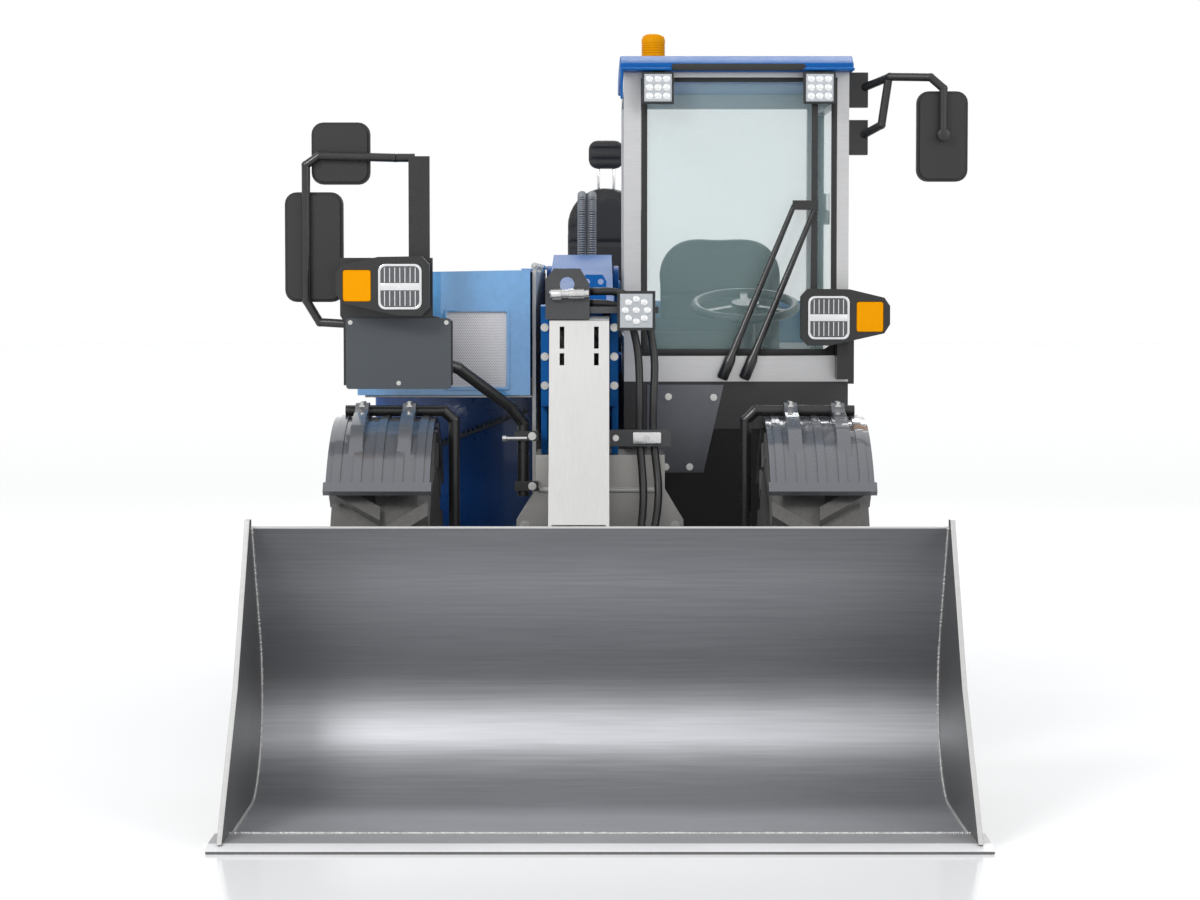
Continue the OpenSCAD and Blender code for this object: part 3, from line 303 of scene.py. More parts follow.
given, node, link, close = new_tree("hex_bolts", "Bolts", ("Places", "Geometry"), ("Radius", "Float"),
    ("Washer", "Float"), ("Height", "Float"))
head, washer, both = (node("GeometryNodeMeshCylinder"), node("GeometryNodeMeshCylinder"),
    node("GeometryNodeJoinGeometry"))
head.inputs["Vertices"].default_value, washer.inputs["Vertices"].default_value = 6, 16
low, up, lift = node("ShaderNodeMath"), node("ShaderNodeCombineXYZ"), node("GeometryNodeTransform")
low.operation = "MULTIPLY"
low.inputs[1].default_value = 0.5
link(given.outputs["Height"], low.inputs[0])
link(given.outputs["Radius"], head.inputs["Radius"])
link(given.outputs["Washer"], washer.inputs["Radius"])
link(given.outputs["Height"], head.inputs["Depth"])
link(low.outputs[0], washer.inputs["Depth"])
link(low.outputs[0], up.inputs["Z"])
link(head.outputs["Mesh"], lift.inputs["Geometry"])
link(up.outputs[0], lift.inputs["Translation"])
link(lift.outputs[0], both.inputs[0])
link(washer.outputs["Mesh"], both.inputs[0])
bolt_tree = close(given.outputs["Places"], both.outputs[0], aimed(node, link))


def bolts(name, radius, height, body, places):
    """Zinc plated hexagon bolts on washers, at (place, direction) pairs."""
    return fix(run_tree(name, bolt_tree, places, [], Radius=radius, Washer=radius * 1.4, Height=height,
        Finish=zinc), body)


FRONT, TOP = (0, -1, 0), (0, 0, 1)
stainless = finish("brushed_stainless", (0.46, 0.45, 0.43), 0.36, metal=0.9, grain=(3, 30, 60),
    spread=0.12, bump=0.05)
edge_steel = finish("edge_steel", (0.60, 0.60, 0.59), 0.4, metal=0.75, grain=(2, 40, 40), spread=0.10,
    bump=0.05)
dark_paint = finish("dark_grey_paint", (0.060, 0.062, 0.066), 0.45, spread=0.2)
zinc = finish("zinc_bolts", (0.62, 0.62, 0.60), 0.3, metal=1.0, spread=0.1)
for plate in edged(stainless, 0.002, "chassis_frame", "front_box", "engine_bay"):
    plate.data.materials.append(edge_steel)
    for face in plate.data.polygons:
        if face.normal.y < -0.9 and face.area < 0.012:
            face.material_index = 1
edged(dark_paint, 0.005, "front_axle", "rear_axle")
bolts("front_box_bolts", 0.011, 0.010, "chassis",
    [(at(x, 1725, z), FRONT) for x in (-232, 232) for z in (660, 696)])

# Wheels: silver painted rims with round hand holes, and heavy tyres with chevron lugs,
# whose worn rubber is paler than new.
rubber = finish("tyre_rubber", (0.135, 0.131, 0.126), 0.8, grain=(14, 14, 14), spread=0.3, bump=0.25)
rim_paint = finish("rim_paint", (0.48, 0.49, 0.50), 0.4, metal=0.6, spread=0.08)
for corner in ("fl", "fr", "rl", "rr"):
    edged(rubber, 0.005, "tyre_" + corner)
    edged(rim_paint, 0.002, "wheel_rim_" + corner)

# Knuckles: steering knuckles with a black tube over the wheel, which carries a ribbed
# plastic mudguard on two moulded straps that are clamped and bolted to the tube.
black_paint = finish("black_paint", (0.016, 0.016, 0.017), 0.3, spread=0.2, coat=0.2)
guard_plastic = finish("guard_plastic", (0.13, 0.136, 0.152), 0.24, grain=(20, 20, 20), spread=0.06,
    bump=0.015, coat=0.7)
for corner, x, y in (("fl", 652.5, 1660), ("fr", -652.5, 1660), ("rl", 652.5, 3810), ("rr", -652.5, 3810)):
    guard = edged(black_paint, 0.0025, "knuckle_" + corner)[0]
    guard.data.materials.append(guard_plastic)
    hub = at(x, y, 495)
    for face in guard.data.polygons:
        reach = face.center - hub
        on_tube = abs(reach.y) < 0.0185 and abs(reach.z - 0.559) < 0.0185
        if abs(reach.x) < 0.17 and 0.505 < math.hypot(reach.y, reach.z) < 0.592 and not on_tube:
            face.material_index = 1
    bolts("guard_bolts_" + corner, 0.008, 0.012, "knuckle_" + corner,
        [(at(x + d, y + s, 1070), TOP) for d in (-72, 72) for s in (-34, 34)])

# Boom: a blue box tube on its tower, with a stainless inner tube that ends in a steep
# open-backed nose of folded plate, slotted near its top.
machine_blue = finish("machine_blue", (0.008, 0.125, 0.42), 0.45, spread=0.08, shine=0.12)
nose_steel = finish("nose_steel", (0.62, 0.62, 0.605), 0.45, metal=0.5, grain=(40, 3, 3), spread=0.07,
    bump=0.04)
edged(machine_blue, 0.003, "boom_outer", "boom_tower", "boom_rest")
edged(nose_steel, 0.003, "boom_inner")
slope = math.radians(6)
bolts("boom_collar_bolts", 0.009, 0.009, "boom_outer",
      [(at(-63 + s * 107, 3450 - 1740 * math.cos(slope) - d * math.sin(slope),
          1400 - 1740 * math.sin(slope) + d * math.cos(slope)),
        (0, -math.cos(slope), -math.sin(slope))) for s in (-1, 1) for d in (-90, 0, 90)])

# Nose fittings: a dark bracket with a square work lamp of nine reflectors, a hose elbow,
# and two hoses that hang beside the nose under a bolted clamp.
black_plastic = finish("black_plastic", (0.019, 0.019, 0.020), 0.42, grain=(30, 30, 30), spread=0.25,
    bump=0.08)
clear_lens = finish("clear_lens", (0.50, 0.53, 0.56), 0.10, spread=0.10, coat=0.8, fine=30)
led_silver = finish("led_silver", (0.90, 0.91, 0.92), 0.12, metal=0.4, spread=0.05, coat=0.6)
hose_rubber = finish("hose_rubber", (0.014, 0.014, 0.015), 0.42, grain=(60, 60, 60), spread=0.2, bump=0.1)
fitting_zinc = finish("fitting_zinc", (0.66, 0.66, 0.66), 0.28, metal=0.9, spread=0.1)
edged(dark_paint, 0.002, "nose_bracket")
edged(black_plastic, 0.004, "nose_lamp")
edged(clear_lens, 0.001, "nose_lamp_lens")
given, node, link, close = new_tree("reflector_cups", "Cups", ("Places", "Geometry"), ("Radius", "Float"),
    ("Height", "Float"))
ball, squash, size = (node("GeometryNodeMeshUVSphere"), node("GeometryNodeTransform"),
    node("ShaderNodeCombineXYZ"))
ball.inputs["Segments"].default_value, ball.inputs["Rings"].default_value = 16, 8
ball.inputs["Radius"].default_value = 1.0
for axis, source in (("X", "Radius"), ("Y", "Radius"), ("Z", "Height")):
    link(given.outputs[source], size.inputs[axis])
link(ball.outputs["Mesh"], squash.inputs["Geometry"])
link(size.outputs[0], squash.inputs["Scale"])
cup_tree = close(given.outputs["Places"], squash.outputs[0], aimed(node, link))


def cups(name, radius, body, places):
    """Bright round reflectors of a work lamp."""
    obj = run_tree(name, cup_tree, [(p, FRONT) for p in places], [], Radius=radius, Height=0.004,
        Finish=led_silver)
    obj.data.shade_smooth()
    return fix(obj, body)


def smooth_hose(name):
    """Stands a rounded copy of a hose node in its place."""
    mesh = frame["nodes"][name].data.copy()
    bm = bmesh.new()
    bm.from_mesh(mesh)
    bmesh.ops.remove_doubles(bm, verts=bm.verts, dist=0.00005)
    bm.to_mesh(mesh)
    bm.free()
    obj = stand(name + "_piece", mesh, hose_rubber)
    mesh.shade_smooth()
    mesh.set_sharp_from_angle(angle=1.0)
    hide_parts(name)
    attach(obj, frame["nodes"][name]["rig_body"])


def tube(name, path, radii, mat, sides=20):
    """A round piece turned along a path, with a radius at each of its points."""
    bm = bmesh.new()
    rings, side = [], None
    for i, (p, r) in enumerate(zip(path, radii)):
        ahead = (path[min(i + 1, len(path) - 1)] - path[max(i - 1, 0)]).normalized()
        side = ahead.orthogonal() if side is None else side - ahead * side.dot(ahead)
        side.normalize()
        up = ahead.cross(side)
        rings.append([bm.verts.new(p + r * (math.cos(a) * side + math.sin(a) * up))
            for a in (2 * math.pi * k / sides for k in range(sides))])
    for a, b in zip(rings, rings[1:]):
        for k in range(sides):
            bm.faces.new((a[k], a[(k + 1) % sides], b[(k + 1) % sides], b[k]))
    bm.faces.new(rings[0][::-1])
    bm.faces.new(rings[-1])
    bmesh.ops.recalc_face_normals(bm, faces=bm.faces)
    mesh = bpy.data.meshes.new(name)
    bm.to_mesh(mesh)
    bm.free()
    mesh.shade_smooth()
    mesh.set_sharp_from_angle(angle=0.7)
    return stand(name, mesh, mat)


def front_plate(name, outline, y0, y1, width, mat, hole=None):
    """A plate seen from the front: its outline in (x, z) millimetres, from y0 to y1, with broken edges."""
    bm = bmesh.new()
    loops = [[[bm.verts.new(at(x, y, z)) for x, z in line] for y in (y0, y1)]
        for line in ([outline, hole] if hole else [outline])]
    for near, far in loops:
        for k in range(len(near)):
            n = (k + 1) % len(near)
            bm.faces.new((near[k], near[n], far[n], far[k]))
    for which in (0, 1):
        if not hole:
            bm.faces.new(loops[0][which])
            continue
        a, b = loops[0][which], loops[1][which]
        for k in range(len(a)):
            n = (k + 1) % len(a)
            bm.faces.new((a[k], a[n], b[n], b[k]))
    bmesh.ops.recalc_face_normals(bm, faces=bm.faces)
    mesh = bpy.data.meshes.new(name)
    bm.to_mesh(mesh)
    bm.free()
    obj = stand(name, mesh, mat)
    if width:
        bevel = obj.modifiers.new("edge", "BEVEL")
        bevel.width, bevel.segments, bevel.limit_method, bevel.angle_limit = width / 1000, 2, "ANGLE", 0.7
        settled(obj)
    obj.data.shade_smooth()
    obj.data.set_sharp_from_angle(angle=0.7)
    return obj


def soft_rect(x0, x1, z0, z1, r, n=5):
    """A rectangle with rounded corners, in (x, z)."""
    line = []
    for cx, cz, start in ((x1 - r, z1 - r, 0), (x0 + r, z1 - r, 90), (x0 + r, z0 + r, 180),
        (x1 - r, z0 + r, 270)):
        line += [(cx + r * math.cos(math.radians(start + 90 * k / n)),
            cz + r * math.sin(math.radians(start + 90 * k / n))) for k in range(n + 1)]
    return line


ring_of_cups = [at(110 + 34 * math.cos(a * math.pi / 4), 1602, 1360 + 34 * math.sin(a * math.pi / 4))
                for a in range(8)]
cups("nose_lamp_cups", 0.0115, "boom_inner", [at(110, 1602, 1360)] + ring_of_cups)
smooth_hose("nose_hoses")
elbow = ((-152, 1404, 8), (-147, 1404, 16), (-146, 1408, 18), (-118, 1409, 18), (-117, 1410, 13),
         (-96, 1410, 13), (-95, 1410, 16), (-48, 1411, 16), (-47, 1411, 12), (-34, 1412, 12))
fix(tube("nose_elbow", [at(x, 1603, z) for x, z, _ in elbow], [r / 1000 for _, _, r in elbow], fitting_zinc),
    "boom_inner")
fix(front_plate("hose_clamp", soft_rect(100, 186, 955, 991, 5), 1598, 1604.5, 1.5, fitting_zinc),
    "boom_inner")
bolts("clamp_bolts", 0.007, 0.009, "boom_inner", [(at(142, 1598, 973), FRONT), (at(48, 1604, 973), FRONT)])

# Hose loop behind the boom: two hoses in pale spiral guards that rise behind the boom's heel
# and drop to the deck; the guards are wound strip.
spiral_grey = finish("spiral_guard", (0.30, 0.31, 0.33), 0.38, metal=0.3, spread=0.2, fine=20)
smooth_hose("boom_hoses")
given, node, link, close = new_tree("wound_guard", "Guard", ("Path", "Geometry"), ("Pitch", "Float"),
    ("Ring", "Float"), ("Strip", "Float"))
line, steps, along, turn = (node("GeometryNodeMeshToCurve"), node("GeometryNodeResampleCurve"),
    node("GeometryNodeInputTangent"), node("FunctionNodeAlignRotationToVector"))
steps.mode, turn.axis = "LENGTH", "Z"
ring, strip, hoop = (node("GeometryNodeCurvePrimitiveCircle"), node("GeometryNodeCurvePrimitiveCircle"),
    node("GeometryNodeCurveToMesh"))
ring.inputs["Resolution"].default_value, strip.inputs["Resolution"].default_value = 18, 6
link(given.outputs["Path"], line.inputs[0])
link(line.outputs[0], steps.inputs["Curve"])
link(given.outputs["Pitch"], steps.inputs["Length"])
link(given.outputs["Ring"], ring.inputs["Radius"])
link(given.outputs["Strip"], strip.inputs["Radius"])
link(ring.outputs["Curve"], hoop.inputs["Curve"])
link(strip.outputs["Curve"], hoop.inputs["Profile Curve"])
link(along.outputs[0], turn.inputs["Vector"])
wound_tree = close(steps.outputs[0], hoop.outputs[0], turn.outputs["Rotation"])
for number, x in enumerate((-67, -30)):
    route = [at(x, y, z) for y, z in ((3640, 1160), (3640, 1250), (3640, 1350), (3640, 1455), (3642, 1560),
        (3650, 1632), (3668, 1700), (3702, 1750), (3745, 1770))]
    guard = run_tree("spiral_guard_%d" % number, wound_tree, route,
        [(k, k + 1) for k in range(len(route) - 1)], Pitch=0.0085, Ring=0.0135, Strip=0.0036,
        Finish=spiral_grey)
    guard.data.shade_smooth()
    fix(guard, "chassis")

# Cylinders: dark painted barrels with hard chromed rods, pinned at both ends.
chrome = finish("hard_chrome", (0.72, 0.72, 0.73), 0.12, metal=1.0, spread=0.04, bump=0.01)
edged(chrome, 0.001, "lift_rod", "tilt_rod")
edged(dark_paint, 0.003, "lift_barrel", "tilt_barrel")

# Bucket: one rolled stainless plate between two side plates, welded all round on the inside,
# with a cutting edge. By height, a painted reflection brightens the bend and painted shade darkens the back
# plate.
bucket_steel = finish("bucket_steel", (0.17, 0.17, 0.168), 0.42, metal=0.75, grain=(1.5, 40, 40),
    spread=0.14, bump=0.05)
painted_light_steel = bpy.data.materials.new("painted_light_steel")
painted_light_steel.use_nodes = True
tree = painted_light_steel.node_tree
node, link = tree.nodes.new, tree.links.new
steel = tree.nodes["Principled BSDF"]
where, drag, split = node("ShaderNodeTexCoord"), node("ShaderNodeMapping"), node("ShaderNodeSeparateXYZ")
drag.inputs["Scale"].default_value = (1.2, 45, 45)
reach, forward, along = node("ShaderNodeMath"), node("ShaderNodeMath"), node("ShaderNodeMath")
reach.operation, forward.operation, along.operation = "SUBTRACT", "MAXIMUM", "MULTIPLY_ADD"
reach.inputs[0].default_value = EDGE_Y + 0.75
forward.inputs[1].default_value = 0.0
along.inputs[1].default_value = -0.35
streak, cloud, wander = node("ShaderNodeTexNoise"), node("ShaderNodeTexNoise"), node("ShaderNodeMath")
streak.inputs["Scale"].default_value, streak.inputs["Detail"].default_value = 3.0, 8.0
cloud.inputs["Scale"].default_value, cloud.inputs["Detail"].default_value = 2.2, 3.0
wander.operation = "MULTIPLY_ADD"
wander.inputs[1].default_value = 0.03
height, painted_tone_ramp = node("ShaderNodeMapRange"), node("ShaderNodeValToRGB")
height.inputs["From Min"].default_value, height.inputs["From Max"].default_value = -0.2, 0.8
# Tone stops by height on the inside: painted reflection at the bend, painted shade on the back plate.
painted_light_tones = ((0.0, 0.48), (0.026, 0.50), (0.13, 0.56), (0.21, 0.38), (0.27, 0.34), (0.32, 0.36), (0.375, 0.56),
    (0.44, 0.48), (0.495, 0.28), (0.55, 0.195), (0.605, 0.21), (0.66, 0.29), (0.72, 0.32),
    (0.83, 0.37), (0.93, 0.28), (1.0, 0.25))
while len(painted_tone_ramp.color_ramp.elements) < len(painted_light_tones):
    painted_tone_ramp.color_ramp.elements.new(0.5)
for mark, (place, tone) in zip(painted_tone_ramp.color_ramp.elements, painted_light_tones):
    mark.position, mark.color = place, (tone * 0.975, tone * 0.99, tone * 1.04, 1)
mottle, gloss, relief = node("ShaderNodeMix"), node("ShaderNodeMapRange"), node("ShaderNodeBump")
mottle.data_type, mottle.blend_type = "RGBA", "OVERLAY"
mottle.inputs["Factor"].default_value = 0.22
gloss.inputs["To Min"].default_value, gloss.inputs["To Max"].default_value = 0.34, 0.58
relief.inputs["Strength"].default_value, relief.inputs["Distance"].default_value = 0.03, 0.001
link(where.outputs["Object"], drag.inputs["Vector"])
link(drag.outputs["Vector"], streak.inputs["Vector"])
link(where.outputs["Object"], cloud.inputs["Vector"])
link(where.outputs["Object"], split.inputs[0])
link(cloud.outputs["Fac"], wander.inputs[0])
link(split.outputs["Y"], reach.inputs[1])
link(reach.outputs[0], forward.inputs[0])
link(forward.outputs[0], along.inputs[0])
link(split.outputs["Z"], along.inputs[2])
link(along.outputs[0], wander.inputs[2])
link(wander.outputs[0], height.inputs["Value"])
link(height.outputs["Result"], painted_tone_ramp.inputs["Fac"])
link(painted_tone_ramp.outputs["Color"], mottle.inputs["A"])
link(streak.outputs["Fac"], mottle.inputs["B"])
link(mottle.outputs["Result"], steel.inputs["Base Color"])
link(streak.outputs["Fac"], gloss.inputs["Value"])
link(gloss.outputs["Result"], steel.inputs["Roughness"])
link(streak.outputs["Fac"], relief.inputs["Height"])
link(relief.outputs["Normal"], steel.inputs["Normal"])
steel.inputs["Metallic"].default_value = 0.7
bucket = edged(bucket_steel, 0.002, "bucket_shell")[0]
# The inside faces take the steel with painted reflection and painted shade; top and side rims take the edge
# steel.
bucket.data.materials.append(painted_light_steel)
bucket.data.materials.append(edge_steel)
for face in bucket.data.polygons:
    out = face.center.x - MID_X
    top_rim = face.normal.z > 0.5 and face.center.z > 0.76
    side_rim = abs(out) > 0.955 and face.normal.y < -0.4 and abs(face.normal.x) < 0.5
    if top_rim or side_rim:
        face.material_index = 2
    elif abs(out) < 0.9615 and abs(face.normal.x) < 0.5 and (face.normal.y < -0.02 or face.normal.z > 0.2):
        face.material_index = 1
blade_painted_highlight = finish("blade_painted_highlight", (0.95, 0.94, 0.95), 0.45, metal=0.1, grain=(2, 40, 40), spread=0.06,
    bump=0.04)
blade_back = finish("blade_back", (0.46, 0.46, 0.47), 0.45, metal=0.5, grain=(2, 40, 40), spread=0.1,
    bump=0.04)
blade = edged(blade_painted_highlight, 0.0015, "cutting_edge")[0]
blade.data.materials.append(bucket_steel)
blade.data.materials.append(blade_back)
# The blade's faces take tones by how they face: a painted highlight on the bevel, grey on top, and a painted
# shadow line on the front face, in the dark bucket steel.
for face in blade.data.polygons:
    if face.normal.y < -0.9:
        face.material_index = 1
    elif face.normal.z > 0.985:
        face.material_index = 2
edged(dark_paint, 0.003, "bucket_hitch")

given, node, link, close = new_tree("weld_beads", "Weld", ("Path", "Geometry"), ("Pitch", "Float"),
    ("Bead", "Float"))
line, steps, bead, uneven = (node("GeometryNodeMeshToCurve"), node("GeometryNodeResampleCurve"),
    node("GeometryNodeMeshIcoSphere"), node("FunctionNodeRandomValue"))
steps.mode, uneven.data_type = "LENGTH", "FLOAT"
bead.inputs["Subdivisions"].default_value = 1
for socket, value in zip([s for s in uneven.inputs if s.type == "VALUE"], (0.75, 1.2)):
    socket.default_value = value
uneven.inputs["Seed"].default_value = 4
link(given.outputs["Path"], line.inputs[0])
link(line.outputs[0], steps.inputs["Curve"])
link(given.outputs["Pitch"], steps.inputs["Length"])
link(given.outputs["Bead"], bead.inputs["Radius"])
weld_tree = close(steps.outputs[0], bead.outputs["Mesh"],
    scale=[s for s in uneven.outputs if s.type == "VALUE"][0])
weld_metal = finish("weld_metal", (0.52, 0.52, 0.51), 0.4, metal=0.7, spread=0.2, fine=40)
bend = [(660 + 289 * math.cos(math.radians(a)), 300 + 289 * math.sin(math.radians(a)))
        for a in range(-84, 31, 6)]
inside = [(195, 11), (660, 11)] + bend + [(721, 768)]
runs = [[at(s * 960, y, z) for y, z in inside] for s in (-1, 1)]
runs.append([at(x, 189, 20) for x in range(-960, 961, 40)])
links, start = [], 0
for run in runs:
    links += [(start + k, start + k + 1) for k in range(len(run) - 1)]
    start += len(run)
beads = run_tree("bucket_welds", weld_tree, [p for run in runs for p in run], links, Pitch=0.006,
    Bead=0.0055, Finish=weld_metal)
beads.data.shade_smooth()
fix(beads, "bucket")

# Body: dark engine block under the bonnet, deep blue side body with a toothed rubber strip, plastic
# tank under the cab, blue rear body with a flat deck, cast counterweight with its tow plate, tail lamps.
deep_blue = finish("deep_blue", (0.004, 0.062, 0.26), 0.32, spread=0.12, coat=0.3)
dark_plastic = finish("dark_plastic", (0.068, 0.078, 0.090), 0.5, grain=(30, 30, 30), spread=0.10, bump=0.08)
red_lens = finish("red_lens", (0.50, 0.012, 0.010), 0.15, spread=0.05, coat=0.6)
edged(dark_paint, 0.006, "engine")
edged(deep_blue, 0.010, "side_body")
edged(dark_plastic, 0.012, "fuel_tank")
edged(machine_blue, 0.012, "rear_body")
edged(dark_paint, 0.012, "counterweight")
edged(red_lens, 0.006, "tail_lamps")
teeth = []
for k in range(20):
    x, z = -526 + 14.4 * k, 918 + 5.63 * k
    teeth += [(x, z), (x + 1.5, z + 13), (x + 5, z + 14), (x + 6, z + 2)]
fix(front_plate("toothed_strip", [(-526, 910)] + teeth + [(-236, 1031), (-236, 1021)], 2291, 2301, 0,
    dark_plastic), "chassis")

# Bonnet: folded sheet in the machine's blue lacquer, made paler by a painted reflection, with a window that
# is closed by a framed plate of fine perforated light grey metal, whose holes are grey discs of painted
# shade.
# The lacquer's blue is painted paler than the machine's blue: a painted reflection over the whole bonnet and
# grille frame.
bonnet_blue = finish("bonnet_blue", (0.15, 0.42, 0.82), 0.2, spread=0.14, coat=1.0)
bonnet_blue.node_tree.nodes["Principled BSDF"].inputs["Coat IOR"].default_value = 1.7
grille_grey = finish("grille_grey", (0.93, 0.91, 0.96), 0.42, metal=0.2, spread=0.05)
grille_hole_painted_shade = finish("grille_hole_painted_shade", (0.40, 0.385, 0.42), 0.7, spread=0.1)
edged(bonnet_blue, 0.004, "bonnet")
grille = front_plate("grille_plate", soft_rect(-486, -277, 1109, 1367, 6), 1798.2, 1801, 0.4, grille_grey)
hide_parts("bonnet_grille")
fix(grille, "bonnet")
given, node, link, close = new_tree("punched_holes", "Holes", ("Spots", "Geometry"), ("Hole", "Float"))
disc, tip = node("GeometryNodeMeshCircle"), node("GeometryNodeTransform")
disc.fill_type = "NGON"
disc.inputs["Vertices"].default_value = 8
tip.inputs["Rotation"].default_value = (math.pi / 2, 0, 0)
link(given.outputs["Hole"], disc.inputs["Radius"])
link(disc.outputs[0], tip.inputs["Geometry"])
punch_tree = close(given.outputs["Spots"], tip.outputs[0])
# The holes are grey discs laid on the plate: painted shade of the dark bay seen through real holes.
spots = [at(-472 + 5.6 * k + 2.8 * (row % 2), 1798.0, 1123 + 4.85 * row)
         for row in range(48) for k in range(33)]
fix(run_tree("grille_holes", punch_tree, spots, [], Hole=0.0017, Finish=grille_hole_painted_shade), "bonnet")
fix(front_plate("grille_frame", soft_rect(-484, -279, 1111, 1365, 10), 1789, 1792.2, 1, bonnet_blue,
    hole=soft_rect(-474, -289, 1121, 1355, 6)), "bonnet")

# Cab: a stainless frame on a dark grey base, under a blue roof. Tinted glass, whose pale veil is a painted
# reflection, lies in black rubber seals, and a bolted cover closes the base's front.
panel_grey = finish("panel_grey", (0.034, 0.033, 0.034), 0.42, spread=0.12)
cover_grey = finish("cover_grey", (0.155, 0.160, 0.178), 0.45, spread=0.10)
seal_rubber = finish("seal_rubber", (0.016, 0.016, 0.016), 0.6, spread=0.2)
cab_stainless = finish("cab_stainless", (0.58, 0.58, 0.585), 0.36, metal=0.8, grain=(3, 30, 60),
    spread=0.10, bump=0.05)
edged(cab_stainless, 0.004, "cab_frame")
edged(panel_grey, 0.004, "cab_base")
edged(machine_blue, 0.016, "cab_roof")
edged(black_paint, 0.004, "door")
# The glass's green tint is its own; the pale veil it lays over what is behind it is a painted reflection.
glass = bpy.data.materials.new("tinted_glass_painted_veil")
glass.use_nodes = True
tree = glass.node_tree
pane = tree.nodes["Principled BSDF"]
pane.inputs["Roughness"].default_value = 0.04
pane.inputs["Alpha"].default_value = 0.16
where, cloud, tint = (tree.nodes.new("ShaderNodeTexCoord"), tree.nodes.new("ShaderNodeTexNoise"),
    tree.nodes.new("ShaderNodeMix"))
cloud.inputs["Scale"].default_value = 1.4
tint.data_type = "RGBA"
tint.inputs["A"].default_value, tint.inputs["B"].default_value = (0.42, 0.66, 0.67, 1), (0.58, 0.79, 0.79, 1)
tree.links.new(where.outputs["Object"], cloud.inputs["Vector"])
tree.links.new(cloud.outputs["Fac"], tint.inputs["Factor"])
tree.links.new(tint.outputs["Result"], pane.inputs["Base Color"])
dress(glass, "cab_glass", "door_glass")
fix(front_plate("windscreen_seal", soft_rect(131, 751, 1213, 2093, 4), 2047, 2057.5, 1.5, seal_rubber,
    hole=soft_rect(150, 734, 1234, 2080, 26)), "chassis")
fix(front_plate("roof_trim", soft_rect(226, 648, 2112, 2134, 8), 1996, 2000.5, 1.5, seal_rubber),
    "chassis")
fix(front_plate("base_cover", [(150, 1120), (394, 1120), (330, 840), (150, 840)], 2046.5, 2050.3, 1,
    cover_grey), "chassis")
bolts("cover_bolts", 0.008, 0.007, "chassis",
    [(at(x, 2046.5, z), FRONT) for x, z in ((218, 1082), (362, 1080), (286, 858), (210, 858))])

# Seats: foam cushions in black cover, sewn across, on plastic shells. The driver's seat stands in
# the cab; the second, with a headrest on two posts, stands on the deck behind the boom.
seat_cover = finish("seat_cover", (0.020, 0.020, 0.022), 0.62, grain=(60, 60, 60), spread=0.3, bump=0.25)


def cushion(name, outline, near, far, lean, swell, channels=()):
    """A stuffed form: an outline in (x, z), from near to far, leaning back, blown up and sewn across."""
    low = min(z for _, z in outline)
    bm = bmesh.new()
    rings = [[bm.verts.new(at(x, y + lean * (z - low), z)) for x, z in outline] for y in (near, far)]
    for k in range(len(outline)):
        n = (k + 1) % len(outline)
        bm.faces.new((rings[0][k], rings[0][n], rings[1][n], rings[1][k]))
    bm.faces.new(rings[0])
    bm.faces.new(rings[1])
    bmesh.ops.recalc_face_normals(bm, faces=bm.faces)
    mesh = bpy.data.meshes.new(name)
    bm.to_mesh(mesh)
    bm.free()
    obj = stand(name, mesh, seat_cover)
    soft = obj.modifiers.new("round", "BEVEL")
    soft.width, soft.segments, soft.limit_method, soft.angle_limit = 0.022, 3, "ANGLE", 0.7
    remesh = obj.modifiers.new("voxels", "REMESH")
    remesh.mode, remesh.voxel_size = "VOXEL", 0.006
    settled(obj)
    home = [v.co.copy() for v in obj.data.vertices]
    cloth = obj.modifiers.new("cloth", "CLOTH")
    cloth.settings.quality = 3
    cloth.settings.use_pressure = True
    cloth.settings.uniform_pressure_force = 4.0
    cloth.settings.effector_weights.gravity = 0.0
    cloth.point_cache.frame_start, cloth.point_cache.frame_end = 1, 20
    for step in range(1, 21):
        scene.frame_set(step)
    settled(obj)
    scene.frame_set(1)
    for vert, start in zip(obj.data.vertices, home):
        move = vert.co - start
        if move.length > swell:
            vert.co = start + move * (swell / move.length)
    facing = [v.normal.y < -0.3 for v in obj.data.vertices]
    for vert, sewn in zip(obj.data.vertices, facing):
        if sewn:
            vert.co.y += sum(0.009 * math.exp(-((vert.co.z * 1000 - z) / 7.0) ** 2) for z in channels)
    obj.data.shade_smooth()
    obj.modifiers.new("fine", "SUBSURF").render_levels = 1
    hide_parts("operator_seat")
    return fix(obj, "chassis")


def arch(x0, x1, z0, z1, r, n=8):
    """An outline with two rounded upper corners."""
    line = [(x0, z0), (x1, z0)]
    for cx, start in ((x1 - r, 0), (x0 + r, 90)):
        line += [(cx + r * math.cos(math.radians(start + 90 * k / n)),
            z1 - r + r * math.sin(math.radians(start + 90 * k / n))) for k in range(n + 1)]
    return line


cushion("driver_back", arch(202, 638, 1092, 1604, 130), 2974, 3058, 0.07, 0.010, channels=(1240, 1400))
cushion("driver_pad", soft_rect(202, 638, 1000, 1076, 30), 2592, 2950, 0.0, 0.010)
fix(front_plate("driver_base", soft_rect(250, 600, 642, 998, 20), 2702, 3086, 8, black_plastic), "chassis")
fix(front_plate("driver_shell", arch(230, 610, 985, 1330, 90), 3062, 3080, 4, black_plastic), "chassis")
cushion("deck_back", arch(-132, 180, 1260, 1816, 150), 4200, 4276, 0.0, 0.009, channels=(1450, 1600))
cushion("deck_pad", soft_rect(-108, 156, 1194, 1276, 30), 3905, 4186, 0.0, 0.009)
cushion("headrest", soft_rect(-44, 92, 1886, 1996, 34), 4212, 4268, 0.0, 0.008, channels=(1920, 1962))
fix(front_plate("deck_shell", arch(-126, 174, 1180, 1780, 150), 4270, 4288, 4, black_plastic), "chassis")
for x in (-6, 54):
    fix(tube("headrest_post_%d" % (x > 0), [at(x, 4240, z) for z in (1780, 1784, 1896, 1900)],
        [0.004, 0.006, 0.006, 0.004], chrome), "chassis")

